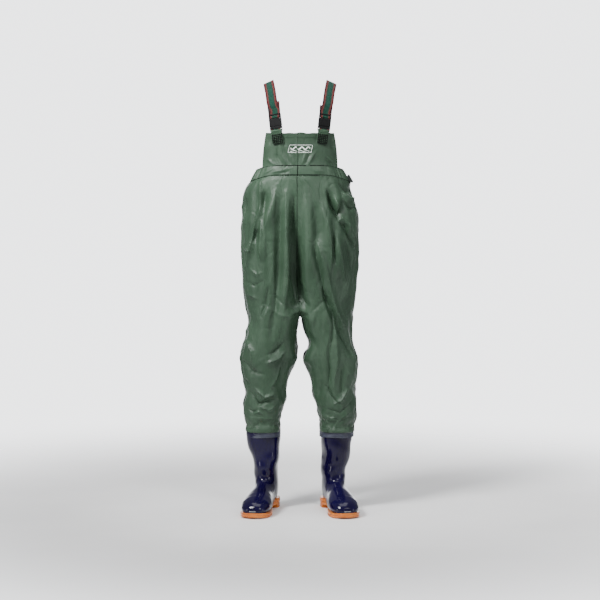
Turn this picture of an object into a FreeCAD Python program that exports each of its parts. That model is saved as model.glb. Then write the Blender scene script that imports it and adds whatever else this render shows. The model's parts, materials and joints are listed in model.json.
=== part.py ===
"""Stocking-loop chest waders: bib, trousers, boots, suspenders and waist belt as separate pieces.

Millimetres. +Z is up, the soles stand on Z = 0, the wearer faces -Y and the wearer's left is +X.
The garment is modelled as it stands when filled, so every panel is a thin closed shell.
"""
import math
import os

import FreeCAD
import Part
from FreeCAD import Matrix, Placement, Rotation, Vector

OUTPUT_FOLDER = "parts"

# Driving dimensions: alias, value, meaning.
DIMENSIONS = [
    ("shift_front", 44.6, "moves the whole object along Y so that the origin is under its middle"),
    ("wall", 1.5, "coated fabric as modelled"),
    ("gap", 0.3, "clearance between neighbouring pieces"),
    ("leg_hem_height", 280.0, "lower edge of the trouser legs"),
    ("waist_seam", 1186.0, "seam between trousers and belt casing, at the centre front"),
    ("casing_height", 38.0, "height of the belt casing"),
    ("casing_depth", 5.4, "outer face to inner face of the belt casing"),
    ("casing_skin", 1.2, "each layer of the casing"),
    ("seam_flat", 80.0, "half width of the level stretch of the waist seam"),
    ("seam_radius", 145.0, "radius at which the waist seam falls away to the sides"),
    ("bib_top", 1335.0, "top edge of the bib"),
    ("bib_half_top", 119.0, "half width of the bib at its top"),
    ("bib_half_low", 132.0, "half width of the bib at its lower seam"),
    ("yoke_top", 1262.0, "top edge of the back yoke"),
    ("yoke_half_top", 96.0, "half width of the back yoke at its top"),
    ("facing_height", 22.0, "hem facing inside the bib and yoke"),
    ("belt_width", 26.0, "waist belt webbing"),
    ("belt_thick", 1.6, "waist belt webbing"),
    ("window_half", 38.0, "half length of the opening in the casing at the belt buckle"),
    ("tape_half", 5.0, "half width of the welded seam tape"),
    ("tape_thick", 0.6, "welded seam tape"),
    ("strap_width", 38.0, "suspender webbing"),
    ("strap_thick", 1.6, "suspender webbing"),
    ("tab_width", 39.0, "fabric tab that carries the plug"),
    ("tab_low", 46.0, "length of tab sewn to the bib, below the plug's bar"),
    ("tab_thick", 1.2, "each layer of the tab"),
    ("buckle_x", 82.0, "plug bar from the centre line"),
    ("buckle_z", 1342.0, "plug bar height"),
    ("buckle_yaw", 15.0, "degrees that a shoulder buckle faces outward"),
    ("buckle_lean", 8.0, "degrees that a shoulder buckle leans outward"),
    ("buckle_back", 5.0, "degrees that a shoulder buckle leans back"),
    ("shoulder_scale", 1.0, "size of the shoulder buckles against the drawing"),
    ("waist_scale", 0.7, "size of the waist buckle against the drawing"),
    ("half_width", 22.0, "buckle, half of overall width"),
    ("half_thick", 4.5, "buckle, half of body thickness"),
    ("ladder_half_thick", 2.5, "buckle, half of the ladder thickness"),
    ("edge_round", 1.4, "buckle, rounding of the outer edges"),
    ("bar_radius", 1.8, "plug, bar that the tab wraps"),
    ("base_low", 6.5, "plug, lower face of the shoulder block"),
    ("base_high", 14.5, "plug, upper face of the shoulder block"),
    ("tongue_half", 4.0, "plug, half width of the centre guide"),
    ("tongue_high", 33.0, "plug, tip of the centre guide"),
    ("root_x", 14.0, "plug, centre of an arm's root from the centre line"),
    ("root_z", 17.2, "plug, centre of an arm's root"),
    ("root_radius", 2.2, "plug, radius of an arm's root"),
    ("mouth", 15.0, "socket, mouth"),
    ("collar_high", 24.0, "socket, top of the collar that the arms catch on"),
    ("window_high", 35.0, "socket, top of the side windows"),
    ("cavity_high", 37.0, "socket, end of the cavity"),
    ("body_high", 42.0, "socket, end of the closed body"),
    ("cavity_half", 19.4, "socket, half width of the cavity"),
    ("cavity_half_thick", 3.0, "socket, half thickness of the cavity"),
    ("slot_half", 19.9, "socket, half width of the webbing slots"),
    ("low_slot_high", 46.5, "socket, lower slot ends"),
    ("middle_bar_high", 50.0, "socket, middle bar ends"),
    ("top_slot_high", 54.5, "socket, upper slot ends"),
    ("ladder_high", 58.0, "socket, top bar ends"),
    ("boot_x", 123.0, "ankle from the centre line"),
    ("boot_y", -10.0, "ankle ahead of the body's middle"),
    ("boot_splay", 12.0, "degrees that the toes turn out"),
    ("boot_wall", 3.0, "moulded boot wall"),
    ("boot_top", 300.0, "top edge of the boot shaft"),
    ("heel_height", 36.0, "outsole under the heel"),
    ("sole_height", 16.0, "outsole under the ball of the foot"),
    ("arch_height", 13.0, "gap under the arch"),
    ("groove_depth", 5.0, "tread groove depth"),
    ("groove_width", 4.0, "tread groove width"),
    ("groove_pitch", 13.0, "tread groove spacing"),
    ("insole_thick", 4.0, "loose insole"),
    ("band_low", 262.0, "lower edge of the cuff band"),
    ("band_high", 287.0, "upper edge of the cuff band"),
]

# Rings of the left half of the trousers, from the chest down to the hem:
# height, centre x, centre y, reach outward, reach inward, half depth, turn in degrees.
# Above the crotch the inward reach crosses the centre plane, where the two halves are sewn.
HALF_RINGS = [
    (1345.0, 0.0, 0.0, 150.0, 60.0, 108.0, 0.0),
    (1224.0, 0.0, 0.0, 147.0, 60.0, 111.0, 0.0),
    (1186.0, 0.0, 0.0, 163.0, 60.0, 116.0, 0.0),
    (1150.0, 0.0, 0.0, 186.0, 60.0, 124.0, 0.0),
    (1070.0, 0.0, 0.0, 207.0, 60.0, 134.0, 0.0),
    (900.0, 0.0, 0.0, 206.0, 60.0, 137.0, 0.0),
    (770.0, 0.0, 0.0, 203.0, 60.0, 132.0, 0.0),
    (700.0, 45.0, 0.0, 153.0, 48.0, 124.0, 0.0),
    (640.0, 99.0, 0.0, 92.0, 85.0, 114.0, 2.0),
    (561.0, 108.0, 0.0, 95.0, 92.0, 106.0, 4.0),
    (475.0, 121.0, 1.0, 80.0, 80.0, 98.0, 6.0),
    (390.0, 126.0, 1.0, 75.0, 75.0, 91.0, 9.0),
    (347.0, 129.0, 0.5, 71.0, 71.0, 84.0, 11.0),
    (304.0, 130.0, 0.2, 65.2, 65.2, 77.0, 12.0),
    (274.0, 130.0, 0.2, 64.4, 64.4, 76.0, 12.0),
]
TORSO_RINGS = 5
RING_POINTS = 24
RING_POWER = 2.5
RING_START = math.radians(163.0)

# Boot sections in the boot's own middle plane, from shaft to toe: the section's near end on the
# instep (y, z), its far end on the heel or sole (y, z), half width, outward shift.
BOOT_SECTIONS = [
    ((-62.0, 320.0), (78.0, 320.0), 59.5, 9.0),
    ((-61.0, 275.0), (78.0, 275.0), 58.5, 9.0),
    ((-55.0, 220.0), (78.0, 218.0), 54.5, 7.0),
    ((-43.0, 163.0), (77.0, 156.0), 46.0, 3.0),
    ((-39.0, 128.0), (79.0, 106.0), 42.0, 1.0),
    ((-43.0, 111.0), (84.0, 62.0), 40.0, 0.0),
    ((-51.0, 103.0), (76.0, 14.0), 39.0, 0.0),
    ((-63.0, 97.0), (30.0, 8.0), 39.0, 0.0),
    ((-79.0, 91.0), (-20.0, 3.0), 42.0, 0.0),
    ((-101.0, 85.0), (-74.0, -3.0), 47.0, -1.0),
    ((-131.0, 77.0), (-122.0, -4.0), 51.0, -2.0),
    ((-165.0, 68.0), (-165.0, -4.0), 50.0, -2.0),
    ((-192.0, 57.0), (-194.0, 2.0), 41.0, -2.0),
    ((-207.0, 43.0), (-209.0, 8.0), 25.0, -2.0),
    ((-213.0, 32.0), (-214.0, 16.0), 9.0, -2.0),
]
INSTEP = 7
BOOT_POWER = 2.25
BOOT_SPAN = 90.0

# Outsole outline, heel round to toe along the outer side, then back along the inner side.
SOLE_OUTLINE = [
    (0.0, 87.0), (27.0, 78.0), (42.0, 45.0), (41.0, 0.0), (45.0, -45.0), (53.0, -95.0),
    (54.0, -140.0), (47.0, -182.0), (26.0, -209.0), (-4.0, -217.0), (-31.0, -208.0),
    (-50.0, -180.0), (-56.0, -135.0), (-52.0, -90.0), (-42.0, -40.0), (-40.0, 5.0),
    (-42.0, 45.0), (-27.0, 78.0),
]

# Suspender centre line, left side: x, y, z and the slope of the webbing across its width in
# degrees, outer edge down. The front stretch starts at the buckle's ladder.
STRAP_FRONT = [
    (96.0, -88.0, 1432.0, 4.0),
    (102.5, -64.0, 1474.0, 10.0),
    (108.0, -32.0, 1502.0, 18.0),
]
STRAP_CREST = (111.0, 4.0, 1513.0, 24.0)
STRAP_BACK = [
    (109.5, 38.0, 1503.0, 18.0),
    (104.0, 71.0, 1474.0, 10.0),
    (97.0, 95.0, 1427.0, 4.0),
    (87.0, 107.5, 1350.0, 0.0),
    (77.0, 111.0, 1275.0, 0.0),
    (71.0, 112.2, 1232.0, 0.0),
]
STRAP_YAW_FRONT = 15.0
STRAP_YAW_BACK = -12.0
TAIL_LENGTHS = {"left": 30.0, "right": 44.0}

FAR = 400.0

doc = FreeCAD.newDocument("chest_waders")
sheet = doc.addObject("Spreadsheet::Sheet", "dims")
SUBPARTS = []


def fill_sheet():
    """Writes the driving dimensions: meaning in column A, value and alias in column B."""
    for row, (alias, value, meaning) in enumerate(DIMENSIONS, start=1):
        sheet.set(f"A{row}", meaning)
        sheet.set(f"B{row}", str(value))
        sheet.setAlias(f"B{row}", alias)
    doc.recompute()


def dim(alias):
    """A driving dimension's number."""
    return float(sheet.get(alias))


def whole_object():
    """Placement that puts the origin under the middle of the object."""
    return Placement(Vector(0, dim("shift_front"), 0), Rotation())


def keep(item, name, placement=None):
    """Registers an object as a sub-part, in its place."""
    item.Label = name
    item.Placement = whole_object() * (placement or Placement())
    SUBPARTS.append(item)
    return item


def keep_shape(name, shape, placement=None):
    """Adds a sub-part whose shape was made with Part's own functions."""
    item = doc.addObject("Part::Feature", name)
    item.Shape = shape
    return keep(item, name, placement)


def mirrored(shape):
    """The same shape on the wearer's other side."""
    return shape.mirror(Vector(0, 0, 0), Vector(1, 0, 0))


# ---------------------------------------------------------------- rings and lofts

def signed_power(value, power):
    return math.copysign(abs(value) ** (2.0 / power), value)


def closed_curve(points):
    curve = Part.BSplineCurve()
    curve.interpolate(points, PeriodicFlag=True)
    return Part.Wire([curve.toShape()])


def ring(height, centre_x, centre_y, reach_out, reach_in, half_depth, turn, offset):
    """Horizontal ring of the garment: a rounded oval whose inner and outer reach may differ."""
    spin = Rotation(Vector(0, 0, 1), turn)
    points = []
    for step in range(RING_POINTS):
        angle = RING_START + 2 * math.pi * step / RING_POINTS
        across = signed_power(math.cos(angle), RING_POWER)
        along = signed_power(math.sin(angle), RING_POWER)
        reach = (reach_out if across > 0 else reach_in) + offset
        local = Vector(reach * across, (half_depth + offset) * along, 0)
        points.append(spin.multVec(local) + Vector(centre_x, centre_y, height))
    return closed_curve(points)


def half_body(offset):
    """Solid that fills the left half of the garment, grown by offset."""
    return Part.makeLoft([ring(*row, offset) for row in HALF_RINGS], True, False)


def torso(offset):
    """Solid that fills the chest and waist from side to side, grown by offset."""
    rows = []
    for height, _, _, reach, _, half_depth, _ in HALF_RINGS[:TORSO_RINGS]:
        rows.append(ring(height, 0, 0, reach, reach, half_depth, 0, offset))
    return Part.makeLoft(rows, True, False)


def torso_band(outside, inside):
    """Shell of the chest and waist between two offsets."""
    return torso(outside).cut(torso(inside))


def body_skin(outside, inside, *regions):
    """Skin of the left half between two offsets, within regions that stop short of its ends."""
    skin = half_body(outside)
    for region in regions:
        skin = skin.common(region)
    return skin.cut(half_body(inside))


def block(low, high):
    """Box between two corners."""
    size = [b - a for a, b in zip(low, high)]
    return Part.makeBox(*size, Vector(*low))


# ---------------------------------------------------------------- seam lines in front view

def saddle_drop(x):
    """How far the waist seam has fallen at x."""
    beyond = max(0.0, abs(x) - dim("seam_flat"))
    radius = dim("seam_radius")
    return radius - math.sqrt(radius ** 2 - beyond ** 2)


def saddle_edges(height, reach=200.0):
    """Waist seam line from -reach to reach: level in the middle, arcs down at both sides."""
    flat = dim("seam_flat")
    middle = (flat + reach) / 2

    def point(x):
        return Vector(x, 0, height - saddle_drop(x))

    left_arc = Part.Arc(point(-reach), point(-middle), point(-flat)).toShape()
    right_arc = Part.Arc(point(flat), point(middle), point(reach)).toShape()
    level = Part.LineSegment(point(-flat), point(flat)).toShape()
    return [left_arc, level, right_arc]


def prism(edges, y_low, y_high):
    """Solid seen in front view as the closed outline made by the edges."""
    face = Part.Face(Part.Wire(Part.__sortEdges__(edges)))
    face.translate(Vector(0, y_low, 0))
    return face.extrude(Vector(0, y_high - y_low, 0))


def line(x0, z0, x1, z1):
    return Part.LineSegment(Vector(x0, 0, z0), Vector(x1, 0, z1)).toShape()


def below_seam(height, bottom, y_low, y_high):
    """Everything under a waist seam line, down to bottom."""
    reach = 200.0
    edge_z = height - saddle_drop(reach)
    edges = saddle_edges(height, reach) + [
        line(reach, edge_z, FAR, edge_z),
        line(FAR, edge_z, FAR, bottom),
        line(FAR, bottom, -FAR, bottom),
        line(-FAR, bottom, -FAR, edge_z),
        line(-FAR, edge_z, -reach, edge_z),
    ]
    return prism(edges, y_low, y_high)


def between_seams(low, high, y_low, y_high, reach=200.0):
    """Band between two parallel waist seam lines."""
    drop = saddle_drop(reach)
    edges = saddle_edges(low, reach) + saddle_edges(high, reach) + [
        line(-reach, low - drop, -reach, high - drop),
        line(reach, low - drop, reach, high - drop),
    ]
    return prism(edges, y_low, y_high)


# ---------------------------------------------------------------- garment panels

def trouser_panels():
    """Four sewn panels: left and right, front and back. They meet at the centre and side seams."""
    side = block((0, -FAR, 0), (FAR, FAR, 1400))
    for face, y_low, y_high in (("front", -FAR, 0), ("back", 0, FAR)):
        region = below_seam(dim("waist_seam"), dim("leg_hem_height"), y_low, y_high)
        panel = body_skin(0, -dim("wall"), region, side)
        keep_shape(f"{face}_panel_left", panel)
        keep_shape(f"{face}_panel_right", mirrored(panel))


def seam_tapes():
    """Tape welded over the centre seams and over each leg's outer and inner seams."""
    low, high = dim("gap") / 2, dim("gap") / 2 + dim("tape_thick")
    half = dim("tape_half")
    under_waist = below_seam(dim("waist_seam") - 1, dim("leg_hem_height") + 2, -FAR, FAR)
    sides = block((half + 1, -half, 0), (FAR, half, 1400))
    leg = body_skin(high, low, under_waist, sides)
    keep_shape("left_leg_seam_tape", leg)
    keep_shape("right_leg_seam_tape", mirrored(leg))
    crotch = 725.0
    for name, y_low, y_high in (("front", -FAR, -20), ("back", 20, FAR)):
        middle = block((0, y_low, crotch), (half, y_high, 1400))
        strip = body_skin(high, low, under_waist, middle)
        keep_shape(f"{name}_centre_seam_tape", strip.fuse(mirrored(strip)).removeSplitter())


def belt_casings():
    """Front and back tunnels for the belt: two layers closed along both seams, open at the buckle."""
    low = dim("waist_seam")
    high = low + dim("casing_height")
    skin, depth = dim("casing_skin"), dim("casing_depth")
    body = torso_band(0, -depth)
    tunnel = torso_band(-skin, skin - depth).common(between_seams(low + 3, high - 3, -FAR, FAR))
    half = dim("window_half")
    window = torso_band(2, skin - depth).common(block((60, -half, 0), (FAR, half, 1400)))
    hollow = body.common(between_seams(low, high, -FAR, FAR)).cut(tunnel).cut(window)
    keep_shape("waist_casing_front", hollow.common(block((-FAR, -FAR, 0), (FAR, 0, 1400))))
    keep_shape("waist_casing_back", hollow.common(block((-FAR, 0, 0), (FAR, FAR, 1400))))


def bib_outline():
    """Front view of the bib: level top, sides that spread a little towards the waist."""
    low = dim("waist_seam") + dim("casing_height")
    top, half_top, half_low = dim("bib_top"), dim("bib_half_top"), dim("bib_half_low")
    corner_z = low - saddle_drop(half_low)
    side_middle = ((half_top + half_low) / 2 + 3, (top + corner_z) / 2)
    right = Part.Arc(
        Vector(half_low, 0, corner_z), Vector(side_middle[0], 0, side_middle[1]),
        Vector(half_top, 0, top)).toShape()
    left = Part.Arc(
        Vector(-half_low, 0, corner_z), Vector(-side_middle[0], 0, side_middle[1]),
        Vector(-half_top, 0, top)).toShape()
    return saddle_edges(low, half_low) + [left, right, line(-half_top, top, half_top, top)]


def bib():
    """Chest panel and the hem facing inside its top edge."""
    region = prism(bib_outline(), -FAR, 0)
    keep_shape("bib_panel", torso_band(0, -dim("wall")).common(region))
    inside = -dim("wall") - dim("gap")
    strip = block((-FAR, -FAR, dim("bib_top") - dim("facing_height")), (FAR, 0, 1400))
    facing = torso_band(inside, inside - 1.2).common(region).common(strip)
    keep_shape("bib_hem_facing", facing)


def back_yoke():
    """Upper back panel, lower than the bib, and its hem facing."""
    low = dim("waist_seam") + dim("casing_height")
    top, half_top, half_low = dim("yoke_top"), dim("yoke_half_top"), dim("bib_half_low")
    corner_z = low - saddle_drop(half_low)
    outline = saddle_edges(low, half_low) + [
        line(half_low, corner_z, half_top, top),
        line(half_top, top, -half_top, top),
        line(-half_top, top, -half_low, corner_z),
    ]
    region = prism(outline, 0, FAR)
    keep_shape("back_yoke", torso_band(0, -dim("wall")).common(region))
    inside = -dim("wall") - dim("gap")
    strip = block((-half_top + 4, 0, top - dim("facing_height")), (half_top - 4, FAR, 1400))
    keep_shape("back_yoke_facing", torso_band(inside, inside - 1.2).common(region).common(strip))


# ---------------------------------------------------------------- webbing

def frame_at(origin, x_axis, y_axis, z_axis):
    """Placement whose local axes are the three given directions."""
    matrix = Matrix(
        x_axis.x, y_axis.x, z_axis.x, origin.x,
        x_axis.y, y_axis.y, z_axis.y, origin.y,
        x_axis.z, y_axis.z, z_axis.z, origin.z,
        0, 0, 0, 1)
    return Placement(matrix)


def buckle_place(sign):
    """Where a shoulder buckle's plug bar is, and how the buckle is turned."""
    turn = Rotation(sign * dim("buckle_yaw"), sign * dim("buckle_lean"), -dim("buckle_back"))
    # the bib's surface at the buckle, plus room for the tab's inner layer
    ratio = dim("buckle_x") / HALF_RINGS[0][3]
    surface = HALF_RINGS[0][5] * (1 - ratio ** RING_POWER) ** (1 / RING_POWER)
    standoff = dim("bar_radius") + dim("tab_thick") + 2 * dim("gap") + 0.6
    return Placement(Vector(sign * dim("buckle_x"), -surface - standoff, dim("buckle_z")), turn)


def webbing_section(centre, tangent, across, width, thick):
    """Flat rectangle of webbing, square to its run."""
    across = (across - tangent * across.dot(tangent)).normalize()
    normal = tangent.cross(across)
    corners = []
    for a, b in ((-1, -1), (1, -1), (1, 1), (-1, 1)):
        corners.append(centre + across * (a * width / 2) + normal * (b * thick / 2))
    return Part.makePolygon(corners + corners[:1])


def webbing(stations, width, thick):
    """Webbing through stations of (centre, direction across the width)."""
    centres = [station[0] for station in stations]
    curve = Part.BSplineCurve()
    curve.interpolate(centres)
    sections = []
    for centre, across in stations:
        tangent = curve.tangent(curve.parameter(centre))[0].normalize()
        sections.append(webbing_section(centre, tangent, across, width, thick))
    return Part.makeLoft(sections, True, False)


def across_vector(yaw, slope):
    """Direction across a strap: turned about Z by yaw, then tipped down outward by slope."""
    yaw, slope = math.radians(yaw), math.radians(slope)
    return Vector(math.cos(yaw) * math.cos(slope), math.sin(yaw) * math.cos(slope), -math.sin(slope))


def strap_stations(rows, yaw_start, yaw_end):
    stations = []
    for index, (x, y, z, slope) in enumerate(rows):
        share = index / (len(rows) - 1)
        yaw = yaw_start + (yaw_end - yaw_start) * share
        stations.append((Vector(x, y, z), across_vector(yaw, slope)))
    return stations


def suspenders():
    """Two straps of elastic webbing, each in a front and a back run that meet over the shoulder."""
    width, thick = dim("strap_width"), dim("strap_thick")
    place = buckle_place(1)
    behind = dim("ladder_half_thick") + 2 * thick + 3 * dim("gap")
    start = [place.multVec(Vector(0, behind, z)) for z in (48.0, 62.0)]
    across = place.Rotation.multVec(Vector(1, 0, 0))
    front = [(point, across) for point in start]
    front += strap_stations(STRAP_FRONT + [STRAP_CREST], STRAP_YAW_FRONT, 0)
    back = strap_stations([STRAP_CREST] + STRAP_BACK, 0, STRAP_YAW_BACK)
    whole = webbing(front + back[1:], width, thick)
    # The two runs part over the crest, on a plane parallel to the buckle's pull.
    pull = place.Rotation.multVec(Vector(0, 0, 1))
    sideways = Vector(1, 0, 0)
    normal = pull.cross(sideways).normalize()
    if normal.y > 0:
        normal = normal * -1
    crest = Vector(*STRAP_CREST[:3])
    ahead = frame_at(crest + normal * (dim("gap") / 2), sideways, normal, sideways.cross(normal))
    astern = frame_at(crest - normal * (dim("gap") / 2), sideways, normal, sideways.cross(normal))
    front_half = block((-FAR, 0, -FAR), (FAR, FAR, FAR))
    front_half.Placement = ahead
    back_half = block((-FAR, -FAR, -FAR), (FAR, 0, FAR))
    back_half.Placement = astern
    for side, sign in (("left", 1), ("right", -1)):
        loop = strap_turn(TAIL_LENGTHS[side])
        loop.Placement = place
        front_run = whole.common(front_half).fuse(loop).removeSplitter()
        back_run = whole.common(back_half)
        if sign < 0:
            front_run, back_run = mirrored(front_run), mirrored(back_run)
        keep_shape(f"{side}_strap_front", front_run)
        keep_shape(f"{side}_strap_back", back_run)


def strap_turn(tail):
    """Webbing round the ladder's middle bar, and the loose tail, in the buckle's own frame."""
    thick, half = dim("strap_thick"), dim("strap_width") / 2
    clear = dim("gap")
    front = -dim("ladder_half_thick") - clear
    back = dim("ladder_half_thick") + clear
    main_back = back + 2 * thick + 2 * clear
    low, high = dim("body_high") + 1.2, dim("middle_bar_high") + 1.0
    pieces = [
        block((-half, front - thick, low), (half, main_back, low + thick)),
        block((-half, front - thick, low), (half, front, high + thick)),
        block((-half, front - thick, high), (half, back + thick, high + thick)),
        block((-half, back, high), (half, back + thick, dim("ladder_high") + tail)),
        block((-half, main_back - thick, low), (half, main_back, 49.0)),
    ]
    return pieces[0].multiFuse(pieces[1:])


def waist_place():
    """Where the waist buckle's plug bar is: at the wearer's left, its axis running back."""
    tilt = math.radians(30.0)
    outward = Vector(math.cos(tilt), 0, math.sin(tilt))
    z_axis, y_axis = Vector(0, 1, 0), outward * -1
    x_axis = y_axis.cross(z_axis)
    surface = Vector(172.0, 0, 1171.5)
    origin = surface + outward * 6.2 - z_axis * 19.6
    return frame_at(origin, x_axis, y_axis, z_axis)


def waist_belt():
    """Belt in its casing, its two ends at the buckle, and the tail beyond the ladder."""
    width, thick = dim("belt_width"), dim("belt_thick")
    middle = dim("waist_seam") + dim("casing_height") / 2
    outside = -dim("casing_skin") - 0.7
    ring_band = torso_band(outside, outside - thick)
    run = ring_band.common(between_seams(middle - width / 2, middle + width / 2, -FAR, FAR))
    half = dim("window_half") + 6
    run = run.cut(block((60, -half, 0), (FAR, half, 1400)))
    keep_shape("waist_belt", run)
    place = waist_place()
    across = place.Rotation.multVec(Vector(1, 0, 0))
    inward = place.Rotation.multVec(Vector(0, 1, 0))
    scale = dim("waist_scale")
    bar = place.multVec(Vector(0, 0, 0))
    wrap = (dim("bar_radius") * scale + dim("gap") + thick / 2)
    # Front end: round the plug's bar and forward into the casing.
    lead = [
        (bar + inward * wrap, across),
        (bar + inward * (wrap + 1.0) + Vector(0, -5, 0), across),
        (bar + inward * (wrap + 3.4) + Vector(0, -12, 0), across),
        (bar + inward * (wrap + 6.4) + Vector(0, -21, 0), across),
    ]
    loop = Part.makeCylinder(wrap + thick / 2, width, Vector(-width / 2, 0, 0), Vector(1, 0, 0))
    loop = loop.cut(Part.makeCylinder(wrap - thick / 2, width, Vector(-width / 2, 0, 0), Vector(1, 0, 0)))
    loop.Placement = place
    keep_shape("waist_belt_front_end", webbing(lead, width, thick).fuse(loop).removeSplitter())
    # Rear end: out of the casing, behind the top bar, round the middle bar.
    back = (dim("ladder_half_thick")) * scale + dim("gap")
    middle_z = (dim("low_slot_high") + dim("middle_bar_high")) / 2 * scale
    low = dim("body_high") * scale + 0.9
    high = dim("middle_bar_high") * scale + 0.9
    half_w = width / 2
    front = -back
    turn = [
        block((-half_w, front - thick, low), (half_w, back + thick, low + thick)),
        block((-half_w, front - thick, low), (half_w, front, high + thick)),
        block((-half_w, front - thick, high), (half_w, back + thick, high + thick)),
        block((-half_w, back, low), (half_w, back + thick, middle_z)),
    ]
    turned = turn[0].multiFuse(turn[1:])
    turned.Placement = place
    seat = back + thick / 2
    rear = [
        (place.multVec(Vector(0, seat, high)), across),
        (place.multVec(Vector(0, seat, high + 5)), across),
        (place.multVec(Vector(0, seat + 2.6, high + 12)), across),
        (place.multVec(Vector(0, seat + 6.0, high + 20)), across),
    ]
    keep_shape("waist_belt_rear_end", webbing(rear, width, thick).fuse(turned).removeSplitter())


def strap_tabs():
    """Fabric tabs: two layers sewn to the bib, folded round the plug's bar."""
    thick, half = dim("tab_thick"), dim("tab_width") / 2 - 0.6
    radius = dim("bar_radius") + dim("gap")
    wrap = radius + thick
    tube = Part.makeCylinder(wrap, 2 * half, Vector(-half, 0, 0), Vector(1, 0, 0))
    tube = tube.cut(Part.makeCylinder(radius, 2 * half, Vector(-half, 0, 0), Vector(1, 0, 0)))
    leaf = block((-half, wrap - thick, -dim("tab_low")), (half, wrap, 0))
    front_leaf = block((-half, wrap - 2 * thick - 0.2, -dim("tab_low")), (half, wrap - thick, -8))
    bridge = Part.makeLoft([
        Part.makePolygon([Vector(-half, -wrap, 0), Vector(half, -wrap, 0),
                          Vector(half, -radius, 0), Vector(-half, -radius, 0), Vector(-half, -wrap, 0)]),
        Part.makePolygon([Vector(-half, wrap - 2 * thick - 0.2, -8.5), Vector(half, wrap - 2 * thick - 0.2, -8.5),
                          Vector(half, wrap - thick, -8.5), Vector(-half, wrap - thick, -8.5),
                          Vector(-half, wrap - 2 * thick - 0.2, -8.5)]),
    ], True, True)
    core = Part.makeCylinder(radius, 2 * half, Vector(-half, 0, 0), Vector(1, 0, 0))
    tab = tube.multiFuse([leaf, front_leaf, bridge]).cut(core).removeSplitter()
    for side, sign in (("left", 1), ("right", -1)):
        keep_shape(f"{side}_strap_tab", tab, buckle_place(sign))


def stitch_grid(columns, rows, pitch_x, pitch_z, length):
    """Box-stitched thread: short vertical stitches in a grid, standing on the plane y = 0."""
    stitches = []
    for column in range(columns):
        for row in range(rows):
            x = (column - (columns - 1) / 2) * pitch_x
            z = (row - (rows - 1) / 2) * pitch_z
            stitches.append(block((x - 0.6, -0.5, z - length / 2), (x + 0.6, 0, z + length / 2)))
    return Part.makeCompound(stitches)


def stitching():
    """Thread that holds the front tabs and the rear ends of the straps."""
    wrap = dim("bar_radius") + dim("gap") + dim("tab_thick")
    face = wrap - 2 * dim("tab_thick") - 0.2 - 0.05
    grid = stitch_grid(6, 7, 6.4, 5.4, 4.0)
    for side, sign in (("left", 1), ("right", -1)):
        centre = Placement(Vector(0, face, -27.0), Rotation())
        keep_shape(f"{side}_tab_stitching", grid, buckle_place(sign).multiply(centre))
    rear = stitch_grid(6, 4, 5.4, 6.0, 4.4)
    x, y, z, _ = STRAP_BACK[-1]
    lift = dim("strap_thick") / 2 + 0.1
    for side, sign in (("left", 1), ("right", -1)):
        # Turned half round, so that the stitches stand on the strap's outer face.
        turn = Rotation(180 - sign * 12.0, 0, 0)
        run_lean = Rotation(Vector(0, 1, 0), sign * 8.0)
        outward = turn.multVec(Vector(0, -1, 0))
        centre = Vector(sign * (x + 2.0), y, z + 14.0) + outward * (lift + 0.35)
        keep_shape(f"{side}_strap_end_stitching", rear, Placement(centre, run_lean * turn))


# ---------------------------------------------------------------- buckles

def cell(expression, scale):
    """An expression in sheet cells, at a buckle's scale."""
    return f"({expression}) * dims.{scale}"


def scaled_box(name, scale, x, y, z, rounding=None):
    """Part::Box between low and high expressions on each axis, its sizes bound to the sheet."""
    item = doc.addObject("Part::Box", name)
    for size, base, (low, high) in (("Length", "x", x), ("Width", "y", y), ("Height", "z", z)):
        item.setExpression(size, cell(f"({high}) - ({low})", scale))
        item.setExpression(f"Placement.Base.{base}", cell(low, scale))
    if rounding is None:
        return item
    doc.recompute()
    rounded = doc.addObject("Part::Fillet", f"{name}_rounded")
    rounded.Base = item
    radius = rounding * dim(scale)
    rounded.Edges = [(edge, radius, radius) for edge in range(1, 13)]
    return rounded


def fused(name, items):
    item = doc.addObject("Part::MultiFuse", name)
    item.Shapes = items
    return item


def cut_from(name, base, tools):
    item = doc.addObject("Part::Cut", name)
    item.Base = base
    item.Tool = tools[0] if len(tools) == 1 else fused(f"{name}_tools", tools)
    return item


def buckle_socket(prefix, scale, placement):
    """Female half: closed body with side windows, and a ladder of two slots for the webbing."""
    width = ("-dims.half_width", "dims.half_width")
    everything = ("-dims.half_thick - 5", "dims.half_thick + 5")
    inner = ("-dims.cavity_half_thick", "dims.cavity_half_thick")
    slot = ("-dims.slot_half", "dims.slot_half")
    rounding = dim("edge_round")
    body = scaled_box(f"{prefix}_socket_body", scale, width,
                      ("-dims.half_thick", "dims.half_thick"), ("dims.mouth", "dims.body_high"), rounding)
    ladder = scaled_box(f"{prefix}_socket_ladder", scale, width,
                        ("-dims.ladder_half_thick", "dims.ladder_half_thick"),
                        ("dims.body_high - 4", "dims.ladder_high"), rounding * 0.7)
    cavity = scaled_box(f"{prefix}_socket_cavity", scale,
                        ("-dims.cavity_half", "dims.cavity_half"), inner,
                        ("dims.mouth - 2", "dims.cavity_high"))
    windows = scaled_box(f"{prefix}_socket_windows", scale,
                         ("-dims.half_width - 2", "dims.half_width + 2"), inner,
                         ("dims.collar_high", "dims.window_high"))
    low_slot = scaled_box(f"{prefix}_socket_low_slot", scale, slot, everything,
                          ("dims.body_high", "dims.low_slot_high"))
    top_slot = scaled_box(f"{prefix}_socket_top_slot", scale, slot, everything,
                          ("dims.middle_bar_high", "dims.top_slot_high"))
    outer = fused(f"{prefix}_socket_outer", [body, ladder])
    socket = cut_from(f"{prefix}_socket_cut", outer, [cavity, windows, low_slot, top_slot])
    keep(socket, f"{prefix}_socket", placement)


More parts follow.
